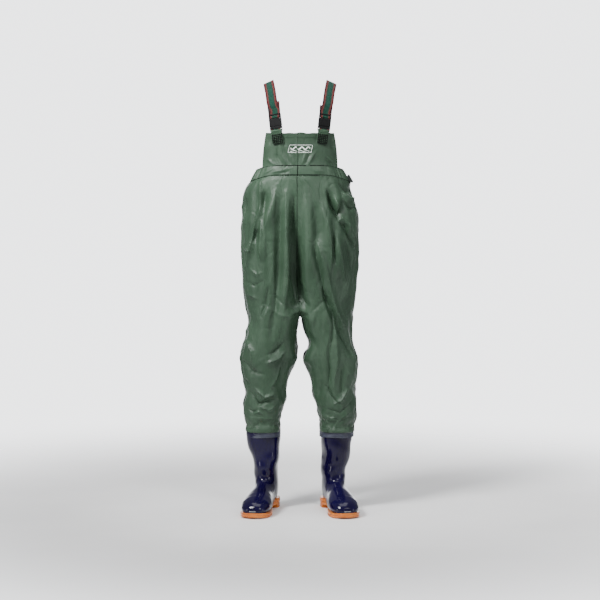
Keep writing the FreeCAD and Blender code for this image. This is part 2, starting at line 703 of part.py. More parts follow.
def buckle_plug(prefix, scale, placement):
    """Male half: webbing bar, shoulder block, centre guide and the seats of the two arms."""
    rounding = dim("edge_round")
    bar = doc.addObject("Part::Cylinder", f"{prefix}_plug_bar")
    bar.setExpression("Radius", cell("dims.bar_radius", scale))
    bar.setExpression("Height", cell("2 * dims.half_width - 1", scale))
    bar.Placement = Placement(Vector(-(dim("half_width") - 0.5) * dim(scale), 0, 0),
                              Rotation(Vector(0, 1, 0), 90))
    rails = []
    for name, low, high in (("inner", "-dims.half_width", "-dims.slot_half"),
                            ("outer", "dims.slot_half", "dims.half_width")):
        rails.append(scaled_box(f"{prefix}_plug_rail_{name}", scale, (low, high), ("-2", "2"),
                                ("-dims.bar_radius - 0.6", "dims.base_low + 1"), 0.8))
    base = scaled_box(f"{prefix}_plug_block", scale, ("-dims.half_width", "dims.half_width"),
                      ("-dims.half_thick + 0.3", "dims.half_thick - 0.3"),
                      ("dims.base_low", "dims.base_high"), rounding)
    tongue = scaled_box(f"{prefix}_plug_tongue", scale, ("-dims.tongue_half", "dims.tongue_half"),
                        ("-1.7", "1.7"), ("dims.base_high - 2", "dims.tongue_high"), 0.9)
    pieces, seats = [bar, *rails, base, tongue], []
    for name, sign in (("inner", "-1"), ("outer", "1")):
        centre = f"{sign} * dims.root_x"
        pieces.append(scaled_box(
            f"{prefix}_plug_boss_{name}", scale, (f"{centre} - 3.5", f"{centre} + 3.5"),
            ("-2.5", "2.5"), ("dims.base_high - 1", "dims.root_z")))
        seat = doc.addObject("Part::Cylinder", f"{prefix}_plug_seat_{name}")
        seat.setExpression("Radius", cell("dims.root_radius + 0.35", scale))
        seat.setExpression("Height", cell("12", scale))
        seat.setExpression("Placement.Base.x", cell(centre, scale))
        seat.setExpression("Placement.Base.z", cell("dims.root_z", scale))
        seat.Placement.Base.y = 6 * dim(scale)
        seat.Placement.Rotation = Rotation(Vector(1, 0, 0), 90)
        seats.append(seat)
    solid = fused(f"{prefix}_plug_solid", pieces)
    keep(cut_from(f"{prefix}_plug_cut", solid, seats), f"{prefix}_plug", placement)


def arm_curves(sign, scale):
    """Outline of a latch arm in the XZ plane: round root, straight neck, catch and rounded tip."""
    k = dim(scale)
    root_x, root_z, radius = dim("root_x"), dim("root_z"), dim("root_radius")
    catch_z = dim("collar_high") + 0.5

    def at(x, z):
        return Vector(sign * x * k, z * k, 0)

    neck = dim("cavity_half") - 0.9
    reach = dim("half_width") - 0.4
    tip_z = dim("window_high") - 0.7
    corners = [
        at(root_x + radius, root_z), at(neck, root_z + 3), at(neck, catch_z - 0.3),
        at(reach, catch_z), at(16.8, tip_z), at(14.4, tip_z - 0.6), at(15.0, 26.0),
        at(root_x - radius, root_z),
    ]
    curves = [Part.LineSegment(corners[i], corners[i + 1]) for i in (0, 1, 2)]
    curves.append(Part.Arc(corners[3], at(reach + 0.1, catch_z + 4.5), corners[4]))
    curves.append(Part.Arc(corners[4], at(15.5, tip_z + 0.3), corners[5]))
    curves += [Part.LineSegment(corners[i], corners[i + 1]) for i in (5, 6)]
    curves.append(Part.Arc(corners[7], at(root_x, root_z - radius), corners[0]))
    return curves


def origin_plane(body, role):
    return [plane for plane in body.Origin.OriginFeatures if plane.Role == role][0]


def new_sketch(body, name, role, curves):
    """Sketch on one of a body's own origin planes."""
    sketch = body.newObject("Sketcher::SketchObject", name)
    sketch.AttachmentSupport = [(origin_plane(body, role), "")]
    sketch.MapMode = "FlatFace"
    sketch.addGeometry(curves, False)
    return sketch


def buckle_arms(prefix, scale, placement, arm_names):
    """Two springy latch arms, pressed inwards through the socket's windows."""
    for name, sign in zip(arm_names, (-1, 1)):
        body = doc.addObject("PartDesign::Body", f"{prefix}_arm_{name}_body")
        sketch = new_sketch(body, f"{prefix}_arm_{name}_outline", "XZ_Plane", arm_curves(sign, scale))
        pad = body.newObject("PartDesign::Pad", f"{prefix}_arm_{name}_pad")
        pad.Profile = sketch
        pad.setExpression("Length", cell("2 * (dims.cavity_half_thick - 0.4)", scale))
        pad.Midplane = True
        body.Tip = pad
        keep(body, f"{prefix}_arm_{name}", placement)


def buckle(prefix, scale, placement, arm_names):
    """Side-release buckle: socket, plug, and arms named from the plug's -X side to its +X side."""
    buckle_socket(prefix, scale, placement)
    buckle_plug(prefix, scale, placement)
    buckle_arms(prefix, scale, placement, arm_names)


# ---------------------------------------------------------------- boots

def boot_place(sign):
    return Placement(Vector(sign * dim("boot_x"), dim("boot_y"), 0),
                     Rotation(Vector(0, 0, 1), sign * dim("boot_splay")))


def boot_section(near, far, half_width, shift, offset):
    """Section of the boot: an oval in the plane through its near and far ends and across X."""
    near, far = Vector(0, *near), Vector(0, *far)
    centre = (near + far) / 2 + Vector(shift, 0, 0)
    long_axis = (near - far)
    half_length = long_axis.Length / 2 + offset
    long_axis.normalize()
    points = []
    for step in range(RING_POINTS):
        angle = 2 * math.pi * step / RING_POINTS
        along = half_length * signed_power(math.cos(angle), BOOT_POWER)
        across = (half_width + offset) * signed_power(math.sin(angle), BOOT_POWER)
        points.append(centre + long_axis * along + Vector(across, 0, 0))
    return closed_curve(points)


def boot_form(offset):
    """Solid last of the boot, grown by offset: shaft with heel, and foot, joined at the instep."""
    sections = [boot_section(*row, offset) for row in BOOT_SECTIONS]
    shaft = Part.makeLoft(sections[:INSTEP + 1], True, False)
    foot = Part.makeLoft(sections[INSTEP:], True, False)
    return shaft.fuse(foot)


def sole_top_profile(rise):
    """Side view of the surface that the upper stands on, heel to toe, as wire points (y, z)."""
    heel, ball = dim("heel_height") + rise, dim("sole_height") + rise
    return [(120.0, heel), (18.0, heel), (-64.0, ball), (-160.0, ball), (-240.0, ball + 7)]


def below_sole_top(rise):
    """Everything under the upper: a prism across the boot."""
    profile = sole_top_profile(rise)
    points = [Vector(-BOOT_SPAN, y, z) for y, z in [(120.0, -40.0), *profile, (-240.0, -40.0)]]
    face = Part.Face(Part.makePolygon(points + points[:1]))
    return face.extrude(Vector(2 * BOOT_SPAN, 0, 0))


def boots():
    """Moulded uppers, loose insoles and the bands that close the trouser hems over the shafts."""
    wall = dim("boot_wall")
    under = block((-BOOT_SPAN, -FAR, -60), (BOOT_SPAN, FAR, dim("boot_top")))
    outer = boot_form(0).cut(below_sole_top(0)).common(under)
    inner = boot_form(-wall).cut(below_sole_top(wall))
    upper = outer.cut(inner)
    lining = boot_form(-wall - dim("gap")).cut(below_sole_top(wall + 0.2))
    insole = lining.common(below_sole_top(wall + 0.2 + dim("insole_thick")))
    band = boot_form(1.9).cut(boot_form(dim("gap")))
    band = band.common(block((-FAR, -FAR, dim("band_low")), (FAR, FAR, dim("band_high"))))
    for side, sign in (("left", 1), ("right", -1)):
        for name, shape in (("boot_upper", upper), ("boot_insole", insole), ("cuff_band", band)):
            keep_shape(f"{side}_{name}", shape if sign > 0 else mirrored(shape), boot_place(sign))


def outsole(side, sign):
    """Outsole: outline padded to full height, then the foot bed, arch and tread are cut away."""
    body = doc.addObject("PartDesign::Body", f"{side}_outsole_body")
    curve = Part.BSplineCurve()
    curve.interpolate([Vector(sign * x, y, 0) for x, y in SOLE_OUTLINE], PeriodicFlag=True)
    plan = new_sketch(body, f"{side}_outsole_plan", "XY_Plane", [curve])
    pad = body.newObject("PartDesign::Pad", f"{side}_outsole_pad")
    pad.Profile = plan
    pad.setExpression("Length", "dims.heel_height")
    doc.recompute()
    full = body.Shape.Volume

    def pocket(name, points):
        points = [Vector(y, z, 0) for y, z in points]
        ends = points[1:] + points[:1]
        sides = [Part.LineSegment(a, b) for a, b in zip(points, ends)]
        cut = body.newObject("PartDesign::Pocket", f"{side}_outsole_{name}")
        sketch = new_sketch(body, f"{side}_outsole_{name}_profile", "YZ_Plane", sides)
        cut.Profile = sketch
        cut.Midplane = True
        cut.Type = 0
        cut.Length = 2 * BOOT_SPAN
        doc.recompute()
        return cut

    top = sole_top_profile(0)[1:]
    pocket("foot_bed", [*top, (-240.0, 80.0), (18.0, 80.0)])
    arch = dim("arch_height")
    pocket("arch", [(22.0, -1.0), (18.0, arch), (-14.0, arch), (-42.0, 0.5), (-42.0, -1.0)])
    pocket("toe_spring", [(-172.0, -1.0), (-172.0, 0.0), (-240.0, 9.0), (-240.0, -1.0)])
    depth, width = dim("groove_depth"), dim("groove_width")
    features = []
    for name, start, count in (("ball", -58.0, 9), ("heel", 72.0, 4)):
        groove = pocket(f"{name}_groove", [(start, -1.0), (start, depth),
                                           (start - width, depth), (start - width, -1.0)])
        pattern = body.newObject("PartDesign::LinearPattern", f"{side}_outsole_{name}_tread")
        pattern.Originals = [groove]
        axis = [line for line in body.Origin.OriginFeatures if line.Role == "Y_Axis"][0]
        pattern.Direction = (axis, [""])
        pattern.Reversed = True
        pattern.setExpression("Length", f"dims.groove_pitch * {count - 1}")
        pattern.Occurrences = count
        body.Tip = pattern
        doc.recompute()
        features.append(pattern)
    assert body.Shape.Volume < 0.8 * full, "the outsole's pockets cut nothing"
    keep(body, f"{side}_boot_outsole", boot_place(sign))


# ---------------------------------------------------------------- the whole

def check_and_export():
    """Stops on any failed object or bad shape, then writes one STEP file for each sub-part."""
    doc.recompute()
    for item in doc.Objects:
        if "Invalid" in item.State or "Error" in item.State:
            raise RuntimeError(f"{item.Name} failed: {item.State}")
    os.makedirs(OUTPUT_FOLDER, exist_ok=True)
    for item in SUBPARTS:
        shape = item.Shape
        if shape.isNull() or not shape.isValid() or not shape.Solids:
            raise RuntimeError(f"{item.Label} has no valid solid")
        shape.exportStep(os.path.join(OUTPUT_FOLDER, item.Label + ".step"))
        print(f"{item.Label}: {len(shape.Solids)} solids, {shape.Volume / 1000:.2f} cm3")


def main():
    fill_sheet()
    trouser_panels()
    seam_tapes()
    belt_casings()
    bib()
    back_yoke()
    waist_belt()
    suspenders()
    strap_tabs()
    stitching()
    for side, sign in (("left", 1), ("right", -1)):
        arm_names = ("inner", "outer")[::sign]
        buckle(f"{side}_buckle", "shoulder_scale", buckle_place(sign), arm_names)
        outsole(side, sign)
    buckle("waist_buckle", "waist_scale", waist_place(), ("upper", "lower"))
    boots()
    check_and_export()


main()
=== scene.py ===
"""Chest waders: the looks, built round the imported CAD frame. Metres, +Z up, wearer faces -Y."""
import json
import math

import bmesh
import bpy
import numpy as np
from mathutils import Matrix, Vector, noise
from mathutils.bvhtree import BVHTree

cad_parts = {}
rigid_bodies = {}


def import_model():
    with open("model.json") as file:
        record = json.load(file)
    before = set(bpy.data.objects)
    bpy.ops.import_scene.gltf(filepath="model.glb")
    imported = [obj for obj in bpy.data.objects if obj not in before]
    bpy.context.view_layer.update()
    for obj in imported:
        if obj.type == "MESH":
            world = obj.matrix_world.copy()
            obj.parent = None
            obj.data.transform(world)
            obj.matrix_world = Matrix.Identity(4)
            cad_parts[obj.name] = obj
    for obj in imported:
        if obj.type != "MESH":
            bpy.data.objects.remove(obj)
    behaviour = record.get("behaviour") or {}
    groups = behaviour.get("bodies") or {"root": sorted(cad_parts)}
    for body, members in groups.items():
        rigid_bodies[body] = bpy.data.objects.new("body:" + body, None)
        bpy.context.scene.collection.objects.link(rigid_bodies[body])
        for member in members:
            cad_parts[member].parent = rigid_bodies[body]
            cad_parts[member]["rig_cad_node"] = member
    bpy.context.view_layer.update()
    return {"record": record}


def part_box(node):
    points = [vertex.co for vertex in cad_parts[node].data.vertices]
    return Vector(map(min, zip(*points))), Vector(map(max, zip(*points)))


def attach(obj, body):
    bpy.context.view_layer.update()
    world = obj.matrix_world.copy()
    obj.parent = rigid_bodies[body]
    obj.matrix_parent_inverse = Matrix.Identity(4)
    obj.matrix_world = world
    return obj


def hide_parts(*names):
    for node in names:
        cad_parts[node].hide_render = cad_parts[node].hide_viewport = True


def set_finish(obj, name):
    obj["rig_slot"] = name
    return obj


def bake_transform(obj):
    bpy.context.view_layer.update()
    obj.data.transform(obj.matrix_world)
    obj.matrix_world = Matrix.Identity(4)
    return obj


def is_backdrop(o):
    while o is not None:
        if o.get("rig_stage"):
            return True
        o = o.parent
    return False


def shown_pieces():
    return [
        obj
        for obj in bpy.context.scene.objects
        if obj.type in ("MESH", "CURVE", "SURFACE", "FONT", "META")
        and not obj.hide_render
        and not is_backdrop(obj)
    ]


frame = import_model()
SIDES = (("left", 1), ("right", -1))
FACES = (("front", -1), ("back", 1))
GARMENT = "garment"
MID_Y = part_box("waist_casing_front")[1][1]    # the plane between the garment's front and back
HEM_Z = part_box("front_panel_left")[0][2]
CASING_SEAM_Z, CROTCH_Z = 1.186, 0.730
SEAM_X = -0.010             # the centre seam hangs a little to the wearer's right
CLOTH_THICK, FACING_THICK = 0.0016, 0.0011


# ------------------------------------------------------------------ small helpers

def smoothstep(low, high, value):
    t = np.clip((value - low) / (high - low), 0.0, 1.0)
    return t * t * (3 - 2 * t)


def curve_through(keys, at):
    """Catmull-Rom through rows of (position, values...), read at each position in at."""
    keys = np.array(sorted(keys), float)
    x, y = keys[:, 0], keys[:, 1:]
    slope = np.gradient(y, x, axis=0)
    at = np.clip(np.atleast_1d(np.asarray(at, float)), x[0], x[-1])
    i = np.clip(np.searchsorted(x, at) - 1, 0, len(x) - 2)
    width = (x[i + 1] - x[i])[:, None]
    t = ((at - x[i])[:, None]) / width
    h00, h10 = 2 * t**3 - 3 * t**2 + 1, t**3 - 2 * t**2 + t
    h01, h11 = -2 * t**3 + 3 * t**2, t**3 - t**2
    return h00 * y[i] + h10 * width * slope[i] + h01 * y[i + 1] + h11 * width * slope[i + 1]


def squared(value, power):
    """A sine or cosine drawn towards its ends, which squares off a round outline."""
    return np.sign(value) * np.abs(value) ** power


def unit(vectors):
    return vectors / np.maximum(np.linalg.norm(vectors, axis=-1, keepdims=True), 1e-6)


def run_length(points):
    """Distance along a line of points, at each of them."""
    return np.concatenate([[0], np.cumsum(np.linalg.norm(np.diff(points, axis=0), axis=1))])


def linked(name, data):
    """A new object in the scene that holds data."""
    obj = bpy.data.objects.new(name, data)
    bpy.context.scene.collection.objects.link(obj)
    return obj


def mesh_object(name, verts, faces):
    mesh = bpy.data.meshes.new(name)
    mesh.from_pydata([tuple(v) for v in verts], [], faces)
    mesh.validate()
    mesh.update()
    mesh.shade_smooth()
    return linked(name, mesh)


def bmesh_object(name, bm):
    mesh = bpy.data.meshes.new(name)
    bm.to_mesh(mesh)
    bm.free()
    return linked(name, mesh)


def loft_faces(rows, around, closed=True, down_first=False):
    """Quads between rows of points; closed joins each row's end to its start."""
    faces = []
    for r in range(rows - 1):
        for c in range(around if closed else around - 1):
            d = (c + 1) % around
            quad = (r * around + c, r * around + d, (r + 1) * around + d, (r + 1) * around + c)
            faces.append(quad[:1] + quad[:0:-1] if down_first else quad)
    return faces


def evaluated_mesh(obj):
    """A new mesh of what an object's modifiers make."""
    graph = bpy.context.evaluated_depsgraph_get()
    return bpy.data.meshes.new_from_object(obj.evaluated_get(graph))


def apply_modifiers(obj):
    made = evaluated_mesh(obj)
    obj.modifiers.clear()
    obj.data = made


def modifier(obj, kind, **settings):
    mod = obj.modifiers.new(kind.lower(), kind)
    for key, value in settings.items():
        setattr(mod, key, value)
    return mod


def vertex_data(mesh, kind="co"):
    """A row for each vertex: its place, or its normal where kind says so."""
    data = np.empty(len(mesh.vertices) * 3)
    mesh.vertices.foreach_get(kind, data)
    return data.reshape(-1, 3)


def set_coords(obj, points):
    obj.data.vertices.foreach_set("co", np.ascontiguousarray(points, dtype=float).ravel())
    obj.data.update()


def fix_normals(obj):
    bm = bmesh.new()
    bm.from_mesh(obj.data)
    bmesh.ops.recalc_face_normals(bm, faces=bm.faces)
    bm.to_mesh(obj.data)
    bm.free()


def shade_by_angle(obj, degrees):
    """Smooth shading, with the edges sharper than an angle kept crisp."""
    bm = bmesh.new()
    bm.from_mesh(obj.data)
    limit = math.radians(degrees)
    for face in bm.faces:
        face.smooth = True
    for edge in bm.edges:
        edge.smooth = not (len(edge.link_faces) == 2 and edge.calc_face_angle(0) > limit)
    bm.to_mesh(obj.data)
    bm.free()


def point_out(obj, direction):
    """Turns the faces so that on the whole they look along direction."""
    total = Vector((0, 0, 0))
    for face in obj.data.polygons:
        total += face.normal * face.area
    if total.dot(Vector(direction)) < 0:
        obj.data.flip_normals()


def grid_mesh(name, points, closed=False):
    """Mesh from an array of rows of points; closed joins each row's end to its start."""
    return mesh_object(name, points.reshape(-1, 3), loft_faces(*points.shape[:2], closed))


def thicken(obj, thickness, rim=0.0):
    """Gives a surface its real thickness, optionally with a rounded edge."""
    modifier(obj, "SOLIDIFY", thickness=thickness, offset=-1.0, use_even_offset=False)
    if rim:
        modifier(obj, "BEVEL", width=rim, segments=2, limit_method="ANGLE", angle_limit=math.radians(50))
    apply_modifiers(obj)
    obj.data.shade_smooth()


def finish_piece(obj, slot_name, *nodes, body=GARMENT):
    """Hides the CAD nodes that a piece takes the place of, fixes it to the body that it rides on and gives
    it its material slot.
    """
    if nodes:
        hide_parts(*nodes)
    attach(obj, body)
    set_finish(obj, slot_name)


# ------------------------------------------------------------------ the trousers' form

# Rows of height, outer reach, inner reach, half depth and the leg's centre line (x, y), for one
# leg. Above the crotch the inner reach is not used: the two halves meet on the centre plane.
LEG_KEYS = [
    (1.224, 0.147, 0.0, 0.111, 0.0, 0.0),
    (1.186, 0.163, 0.0, 0.116, 0.0, 0.0),
    (1.150, 0.184, 0.0, 0.122, 0.0, 0.0),
    (1.100, 0.200, 0.0, 0.129, 0.0, 0.0),
    (1.030, 0.207, 0.0, 0.135, 0.0, 0.0),
    (0.900, 0.206, 0.0, 0.137, 0.0, 0.0),
    (0.790, 0.200, 0.0, 0.132, 0.0, 0.0),
    (0.730, 0.194, 0.0, 0.126, 0.096, 0.0),
    (0.700, 0.191, 0.004, 0.123, 0.097, 0.0),
    (0.660, 0.189, 0.011, 0.117, 0.100, 0.0),
    (0.600, 0.197, 0.016, 0.109, 0.106, 0.0),
    (0.540, 0.205, 0.017, 0.103, 0.111, 0.001),
    (0.475, 0.203, 0.036, 0.097, 0.119, 0.001),
    (0.417, 0.197, 0.046, 0.092, 0.122, 0.001),
    (0.365, 0.201, 0.058, 0.086, 0.129, 0.000),
    (0.330, 0.199, 0.066, 0.080, 0.132, 0.000),
    (0.300, 0.194, 0.068, 0.077, 0.131, 0.000),
    (0.274, 0.193, 0.071, 0.075, 0.132, 0.000),
]
RING_POWER = 2.5
OUT_COLUMNS, IN_COLUMNS = 54, 28
UPPER_ROWS, LOWER_ROWS = 48, 46


def seam_drop(x, radius=0.145, flat=0.080):
    """How far the waist seam falls away towards the sides."""
    beyond = np.clip(np.abs(x) - flat, 0, radius * 0.995)
    return radius - np.sqrt(radius**2 - beyond**2)


def ring_points(row, angles, grow=0.0, flat_inside=0.0):
    """Points of a leg's ring at angles from its centre: 0 is outward, a quarter turn is front."""
    outer, inner, depth, centre_x, centre_y = row
    centre_x = max(centre_x, 0.0)
    power = 2.0 / np.where(np.cos(angles) > 0, RING_POWER, RING_POWER + 3.0 * flat_inside)
    across, along = squared(np.cos(angles), power), squared(np.sin(angles), power)
    reach = np.where(across > 0, outer - centre_x, centre_x - inner) + grow
    return np.stack([centre_x + reach * across,
                     MID_Y + centre_y - (depth + grow) * along], axis=-1)


def spread(points, count):
    """count points at equal distances along an open line of points."""
    length = run_length(points)
    at = np.linspace(0, length[-1], count)
    return np.stack([np.interp(at, length, points[:, k]) for k in range(points.shape[1])], axis=-1)


def centre_valley(x, z):
    """How deep the cloth falls in between the two legs, below the belly and the seat."""
    depth = 0.070 * float(smoothstep(1.12, 0.80, z))
    return depth * np.exp(-(x / (0.026 + 0.020 * smoothstep(1.1, 0.74, z))) ** 2)


def leg_row(z, grow=0.0):
    """Outer line from centre front round the side to centre back, and the inner line back again."""
    row = curve_through(LEG_KEYS, z)[0]
    if z >= CROTCH_Z:
        half = np.linspace(math.pi / 2, -math.pi / 2, 361)
        outer = ring_points((row[0], 0, row[2], 0, row[4]), half, grow)
        inward = np.sign(MID_Y - outer[:, 1])
        outer[:, 1] += inward * centre_valley(outer[:, 0], z)
        return spread(outer, OUT_COLUMNS), None
    near = float(smoothstep(CROTCH_Z - 0.12, CROTCH_Z, z))
    split = math.radians(118 + 16 * near)
    outer = ring_points(row, np.linspace(split, -split, 361), grow, near)
    inner = ring_points(row, np.linspace(-split, split - 2 * math.pi, 241), grow, near)
    return spread(outer, OUT_COLUMNS), spread(inner, IN_COLUMNS + 2)[1:-1]


class Trousers:
    """Structured grid of both legs: knows each vertex by side, row and column."""

    def __init__(self, grow=0.0):
        self.points, self.index, self.faces = [], {}, []
        top, low = CASING_SEAM_Z, HEM_Z
        self.upper = [top + (CROTCH_Z - top) * i / UPPER_ROWS for i in range(UPPER_ROWS + 1)]
        self.lower = [CROTCH_Z + (low - CROTCH_Z) * i / LOWER_ROWS for i in range(1, LOWER_ROWS + 1)]
        for side in (1, -1):
            self.fill(side, grow)
        self.join()
        self.relax()

    def put(self, key, point):
        self.index[key] = len(self.points)
        self.points.append(point)

    def fill(self, side, grow):
        for row, z in enumerate(self.upper):
            outer, _ = leg_row(max(z, CROTCH_Z), grow)
            share = 1 - row / UPPER_ROWS
            drop = seam_drop(outer[:, 0]) * smoothstep(0.45, 1.0, share)
            here, lower = curve_through(LEG_KEYS, z)[0], curve_through(LEG_KEYS, z - drop)
            outer[:, 0] *= lower[:, 0] / here[0]
            outer[:, 1] = MID_Y + (outer[:, 1] - MID_Y) * lower[:, 2] / here[2]
            for column, (x, y) in enumerate(outer):
                key = (side, "out", row, column)
                if column in (0, OUT_COLUMNS - 1):
                    x = 0.0
                    if side < 0:
                        self.index[key] = self.index[(1, "out", row, column)]
                        continue
                self.put(key, (side * x, y, z - drop[column]))
        # the crotch seam, from the back to the front under the body
        row = UPPER_ROWS
        back, front = [self.points[self.index[(1, "out", row, c)]] for c in (OUT_COLUMNS - 1, 0)]
        for column in range(IN_COLUMNS):
            key = (side, "in", row, column)
            if side < 0:
                self.index[key] = self.index[(1, "in", row, column)]
                continue
            t = (column + 1) / (IN_COLUMNS + 1)
            sag = 0.006 * math.sin(math.pi * t)
            self.put(key, (0.0, back[1] + (front[1] - back[1]) * t, CROTCH_Z - sag))
        for step, z in enumerate(self.lower):
            row = UPPER_ROWS + 1 + step
            outer, inner = leg_row(z - 0.0001, grow)
            for column, (x, y) in enumerate(outer):
                self.put((side, "out", row, column), (side * x, y, z))
            sag = 0.006 * (1 - step / 10) if step < 10 else 0.0
            for column, (x, y) in enumerate(inner):
                t = (column + 1) / (IN_COLUMNS + 1)
                self.put((side, "in", row, column), (side * x, y, z - sag * math.sin(math.pi * t)))

    def ring(self, side, row):
        """Vertex numbers round a leg below the crotch, or round a half above it."""
        ids = [self.index[(side, "out", row, c)] for c in range(OUT_COLUMNS)]
        if row >= UPPER_ROWS:
            ids += [self.index[(side, "in", row, c)] for c in range(IN_COLUMNS)]
        return ids

    def relax(self, times=14, reach=0.045):
        """Evens out the change from one body to two legs round the crotch."""
        points = np.array(self.points)
        edges = np.array([(f[i], f[(i + 1) % 4]) for f in self.faces for i in range(4)])
        near = np.exp(-((points[:, 2] - CROTCH_Z) / reach) ** 2)[:, None]
        for _ in range(times):
            total, count = np.zeros_like(points), np.zeros((len(points), 1))
            np.add.at(total, edges[:, 0], points[edges[:, 1]])
            np.add.at(total, edges[:, 1], points[edges[:, 0]])
            np.add.at(count, edges[:, 0], 1)
            np.add.at(count, edges[:, 1], 1)
            points += near * 0.5 * (total / np.maximum(count, 1) - points)
        self.points = [tuple(p) for p in points]

    def join(self):
        """Faces of both legs, and for each the side and whether it belongs to the front panel."""
        self.panels = []
        edge = OUT_COLUMNS - 1
        for side in (1, -1):
            for row in range(UPPER_ROWS + LOWER_ROWS):
                above, below = self.ring(side, row), self.ring(side, row + 1)
                for c in range(len(above) if row >= UPPER_ROWS else edge):
                    d = (c + 1) % len(above)
                    quad = (above[c], below[c], below[d], above[d])
                    self.faces.append(quad if side > 0 else quad[::-1])
                    self.panels.append((side, c < edge / 2 if c < edge else c - edge > IN_COLUMNS / 2))


def mannequin():
    """Hidden legs and hips that the cloth falls against: the form, a little smaller."""
    body = Trousers(grow=-0.013)
    obj = mesh_object("mannequin", body.points, body.faces)
    modifier(obj, "COLLISION")
    obj.collision.thickness_outer = 0.003
    obj.collision.thickness_inner = 0.02
    obj.collision.cloth_friction = 12.0
    return obj


# How much longer and wider than the form the cloth is, at each height.
LENGTH_EXTRA = [(0.28, 0.08), (0.34, 0.10), (0.40, 0.07), (0.48, 0.06), (0.56, 0.07), (0.64, 0.04),
                (0.72, 0.02), (1.0, 0.01), (1.2, 0.01)]
WIDTH_EXTRA = [(0.28, 0.05), (0.40, 0.05), (0.60, 0.05), (0.72, 0.04), (0.9, 0.06), (1.1, 0.08),
               (1.2, 0.09)]

def loosened(trousers):
    """The cloth's own size: wider and longer than the form, most of all over knees and cuffs."""
    points = np.array(trousers.points)
    z = points[:, 2]
    heights = np.linspace(HEM_Z, 1.19, 400)
    extra = curve_through(LENGTH_EXTRA, heights)[:, 0]
    grown = np.concatenate([[0], np.cumsum((1 + (extra[1:] + extra[:-1]) / 2) * np.diff(heights))])
    tall = np.interp(z, heights, grown)
    patchy = np.array([noise.noise(Vector(p) * 7.0 + Vector((3.1, 0, 0))) for p in points])
    wide = 1 + curve_through(WIDTH_EXTRA, z)[:, 0] * (1 + 0.7 * patchy)
    low = 1 - smoothstep(CROTCH_Z - 0.02, CROTCH_Z + 0.02, z)
    centre = curve_through([(k[0], k[4]) for k in LEG_KEYS], z)[:, 0] * low * np.sign(points[:, 0])
    points[:, 0] = centre + (points[:, 0] - centre) * wide
    points[:, 1] = MID_Y + (points[:, 1] - MID_Y) * wide
    points[:, 2] = HEM_Z + tall
    return points


CLOTH_FRAMES = 40
CLOTH = {
    "quality": 6, "mass": 0.35, "air_damping": 2.0, "tension_stiffness": 30,
    "compression_stiffness": 30, "shear_stiffness": 12, "bending_stiffness": 6.0,
    "tension_damping": 8, "compression_damping": 8, "shear_damping": 8, "bending_damping": 1.0,
}


def drape(obj, rest, pins):
    """Runs Blender's cloth on obj with a larger rest shape, and keeps the result."""
    group = obj.vertex_groups.new(name="pins")
    for number, weight in pins.items():
        group.add([number], weight, "REPLACE")
    obj.shape_key_add(name="Basis")
    key = obj.shape_key_add(name="Rest")
    key.data.foreach_set("co", np.ascontiguousarray(rest).ravel())
    cloth = modifier(obj, "CLOTH")
    cloth.settings.rest_shape_key = key
    cloth.settings.vertex_group_mass = "pins"
    for name, value in CLOTH.items():
        setattr(cloth.settings, name, value)
    cloth.collision_settings.distance_min = 0.003
    cloth.collision_settings.use_self_collision = False
    scene = bpy.context.scene
    cloth.point_cache.frame_start, cloth.point_cache.frame_end = 1, CLOTH_FRAMES
    scene.frame_start, scene.frame_end = 1, CLOTH_FRAMES
    for step in range(1, CLOTH_FRAMES + 1):
        scene.frame_set(step)
    draped = vertex_data(evaluated_mesh(obj))
    obj.modifiers.clear()
    obj.shape_key_clear()
    obj.vertex_groups.clear()
    set_coords(obj, draped)
    scene.frame_set(1)


# ------------------------------------------------------------------ boots

# Sections of the left boot in its own frame: near end on the instep (y, z), far end on the heel or
# sole (y, z), half width, outward shift. From the top of the shaft to the toe.
BOOT_SECTIONS = [
    ((-0.0620, 0.300), (0.0780, 0.300), 0.0590, 0.009),
    ((-0.0610, 0.270), (0.0780, 0.270), 0.0580, 0.009),
    ((-0.0570, 0.235), (0.0785, 0.232), 0.0555, 0.008),
    ((-0.0500, 0.198), (0.0775, 0.192), 0.0505, 0.005),
    ((-0.0430, 0.163), (0.0770, 0.156), 0.0445, 0.002),
    ((-0.0390, 0.135), (0.0780, 0.118), 0.0410, 0.001),
    ((-0.0405, 0.118), (0.0830, 0.080), 0.0395, 0.000),
    ((-0.0450, 0.108), (0.0850, 0.046), 0.0390, 0.000),
    ((-0.0520, 0.102), (0.0640, 0.020), 0.0390, 0.000),
    ((-0.0620, 0.097), (0.0300, 0.012), 0.0390, 0.000),
    ((-0.0790, 0.091), (-0.0200, 0.006), 0.0420, 0.000),
    ((-0.1010, 0.085), (-0.0740, 0.003), 0.0470, -0.001),
    ((-0.1310, 0.077), (-0.1220, 0.002), 0.0505, -0.002),
    ((-0.1620, 0.068), (-0.1620, 0.002), 0.0495, -0.002),
    ((-0.1870, 0.058), (-0.1890, 0.005), 0.0430, -0.002),
    ((-0.2030, 0.047), (-0.2060, 0.010), 0.0310, -0.002),
    ((-0.2115, 0.036), (-0.2130, 0.016), 0.0160, -0.002),
]

# Half widths of the left outsole, outer and inner side, from heel to toe.
SOLE_KEYS = [
    (0.0870, 0.004, 0.004), (0.0845, 0.018, 0.018), (0.0780, 0.028, 0.028), (0.0640, 0.037, 0.037),
    (0.0450, 0.042, 0.042), (0.0200, 0.040, 0.040), (0.0000, 0.035, 0.034), (-0.0450, 0.038, 0.034),
    (-0.0850, 0.047, 0.044), (-0.1100, 0.0515, 0.0505),
    (-0.1400, 0.0525, 0.0540), (-0.1820, 0.046, 0.049), (-0.2000, 0.036, 0.039),
    (-0.2110, 0.022, 0.026), (-0.2165, 0.007, 0.011), (-0.2172, 0.0, 0.004),
]
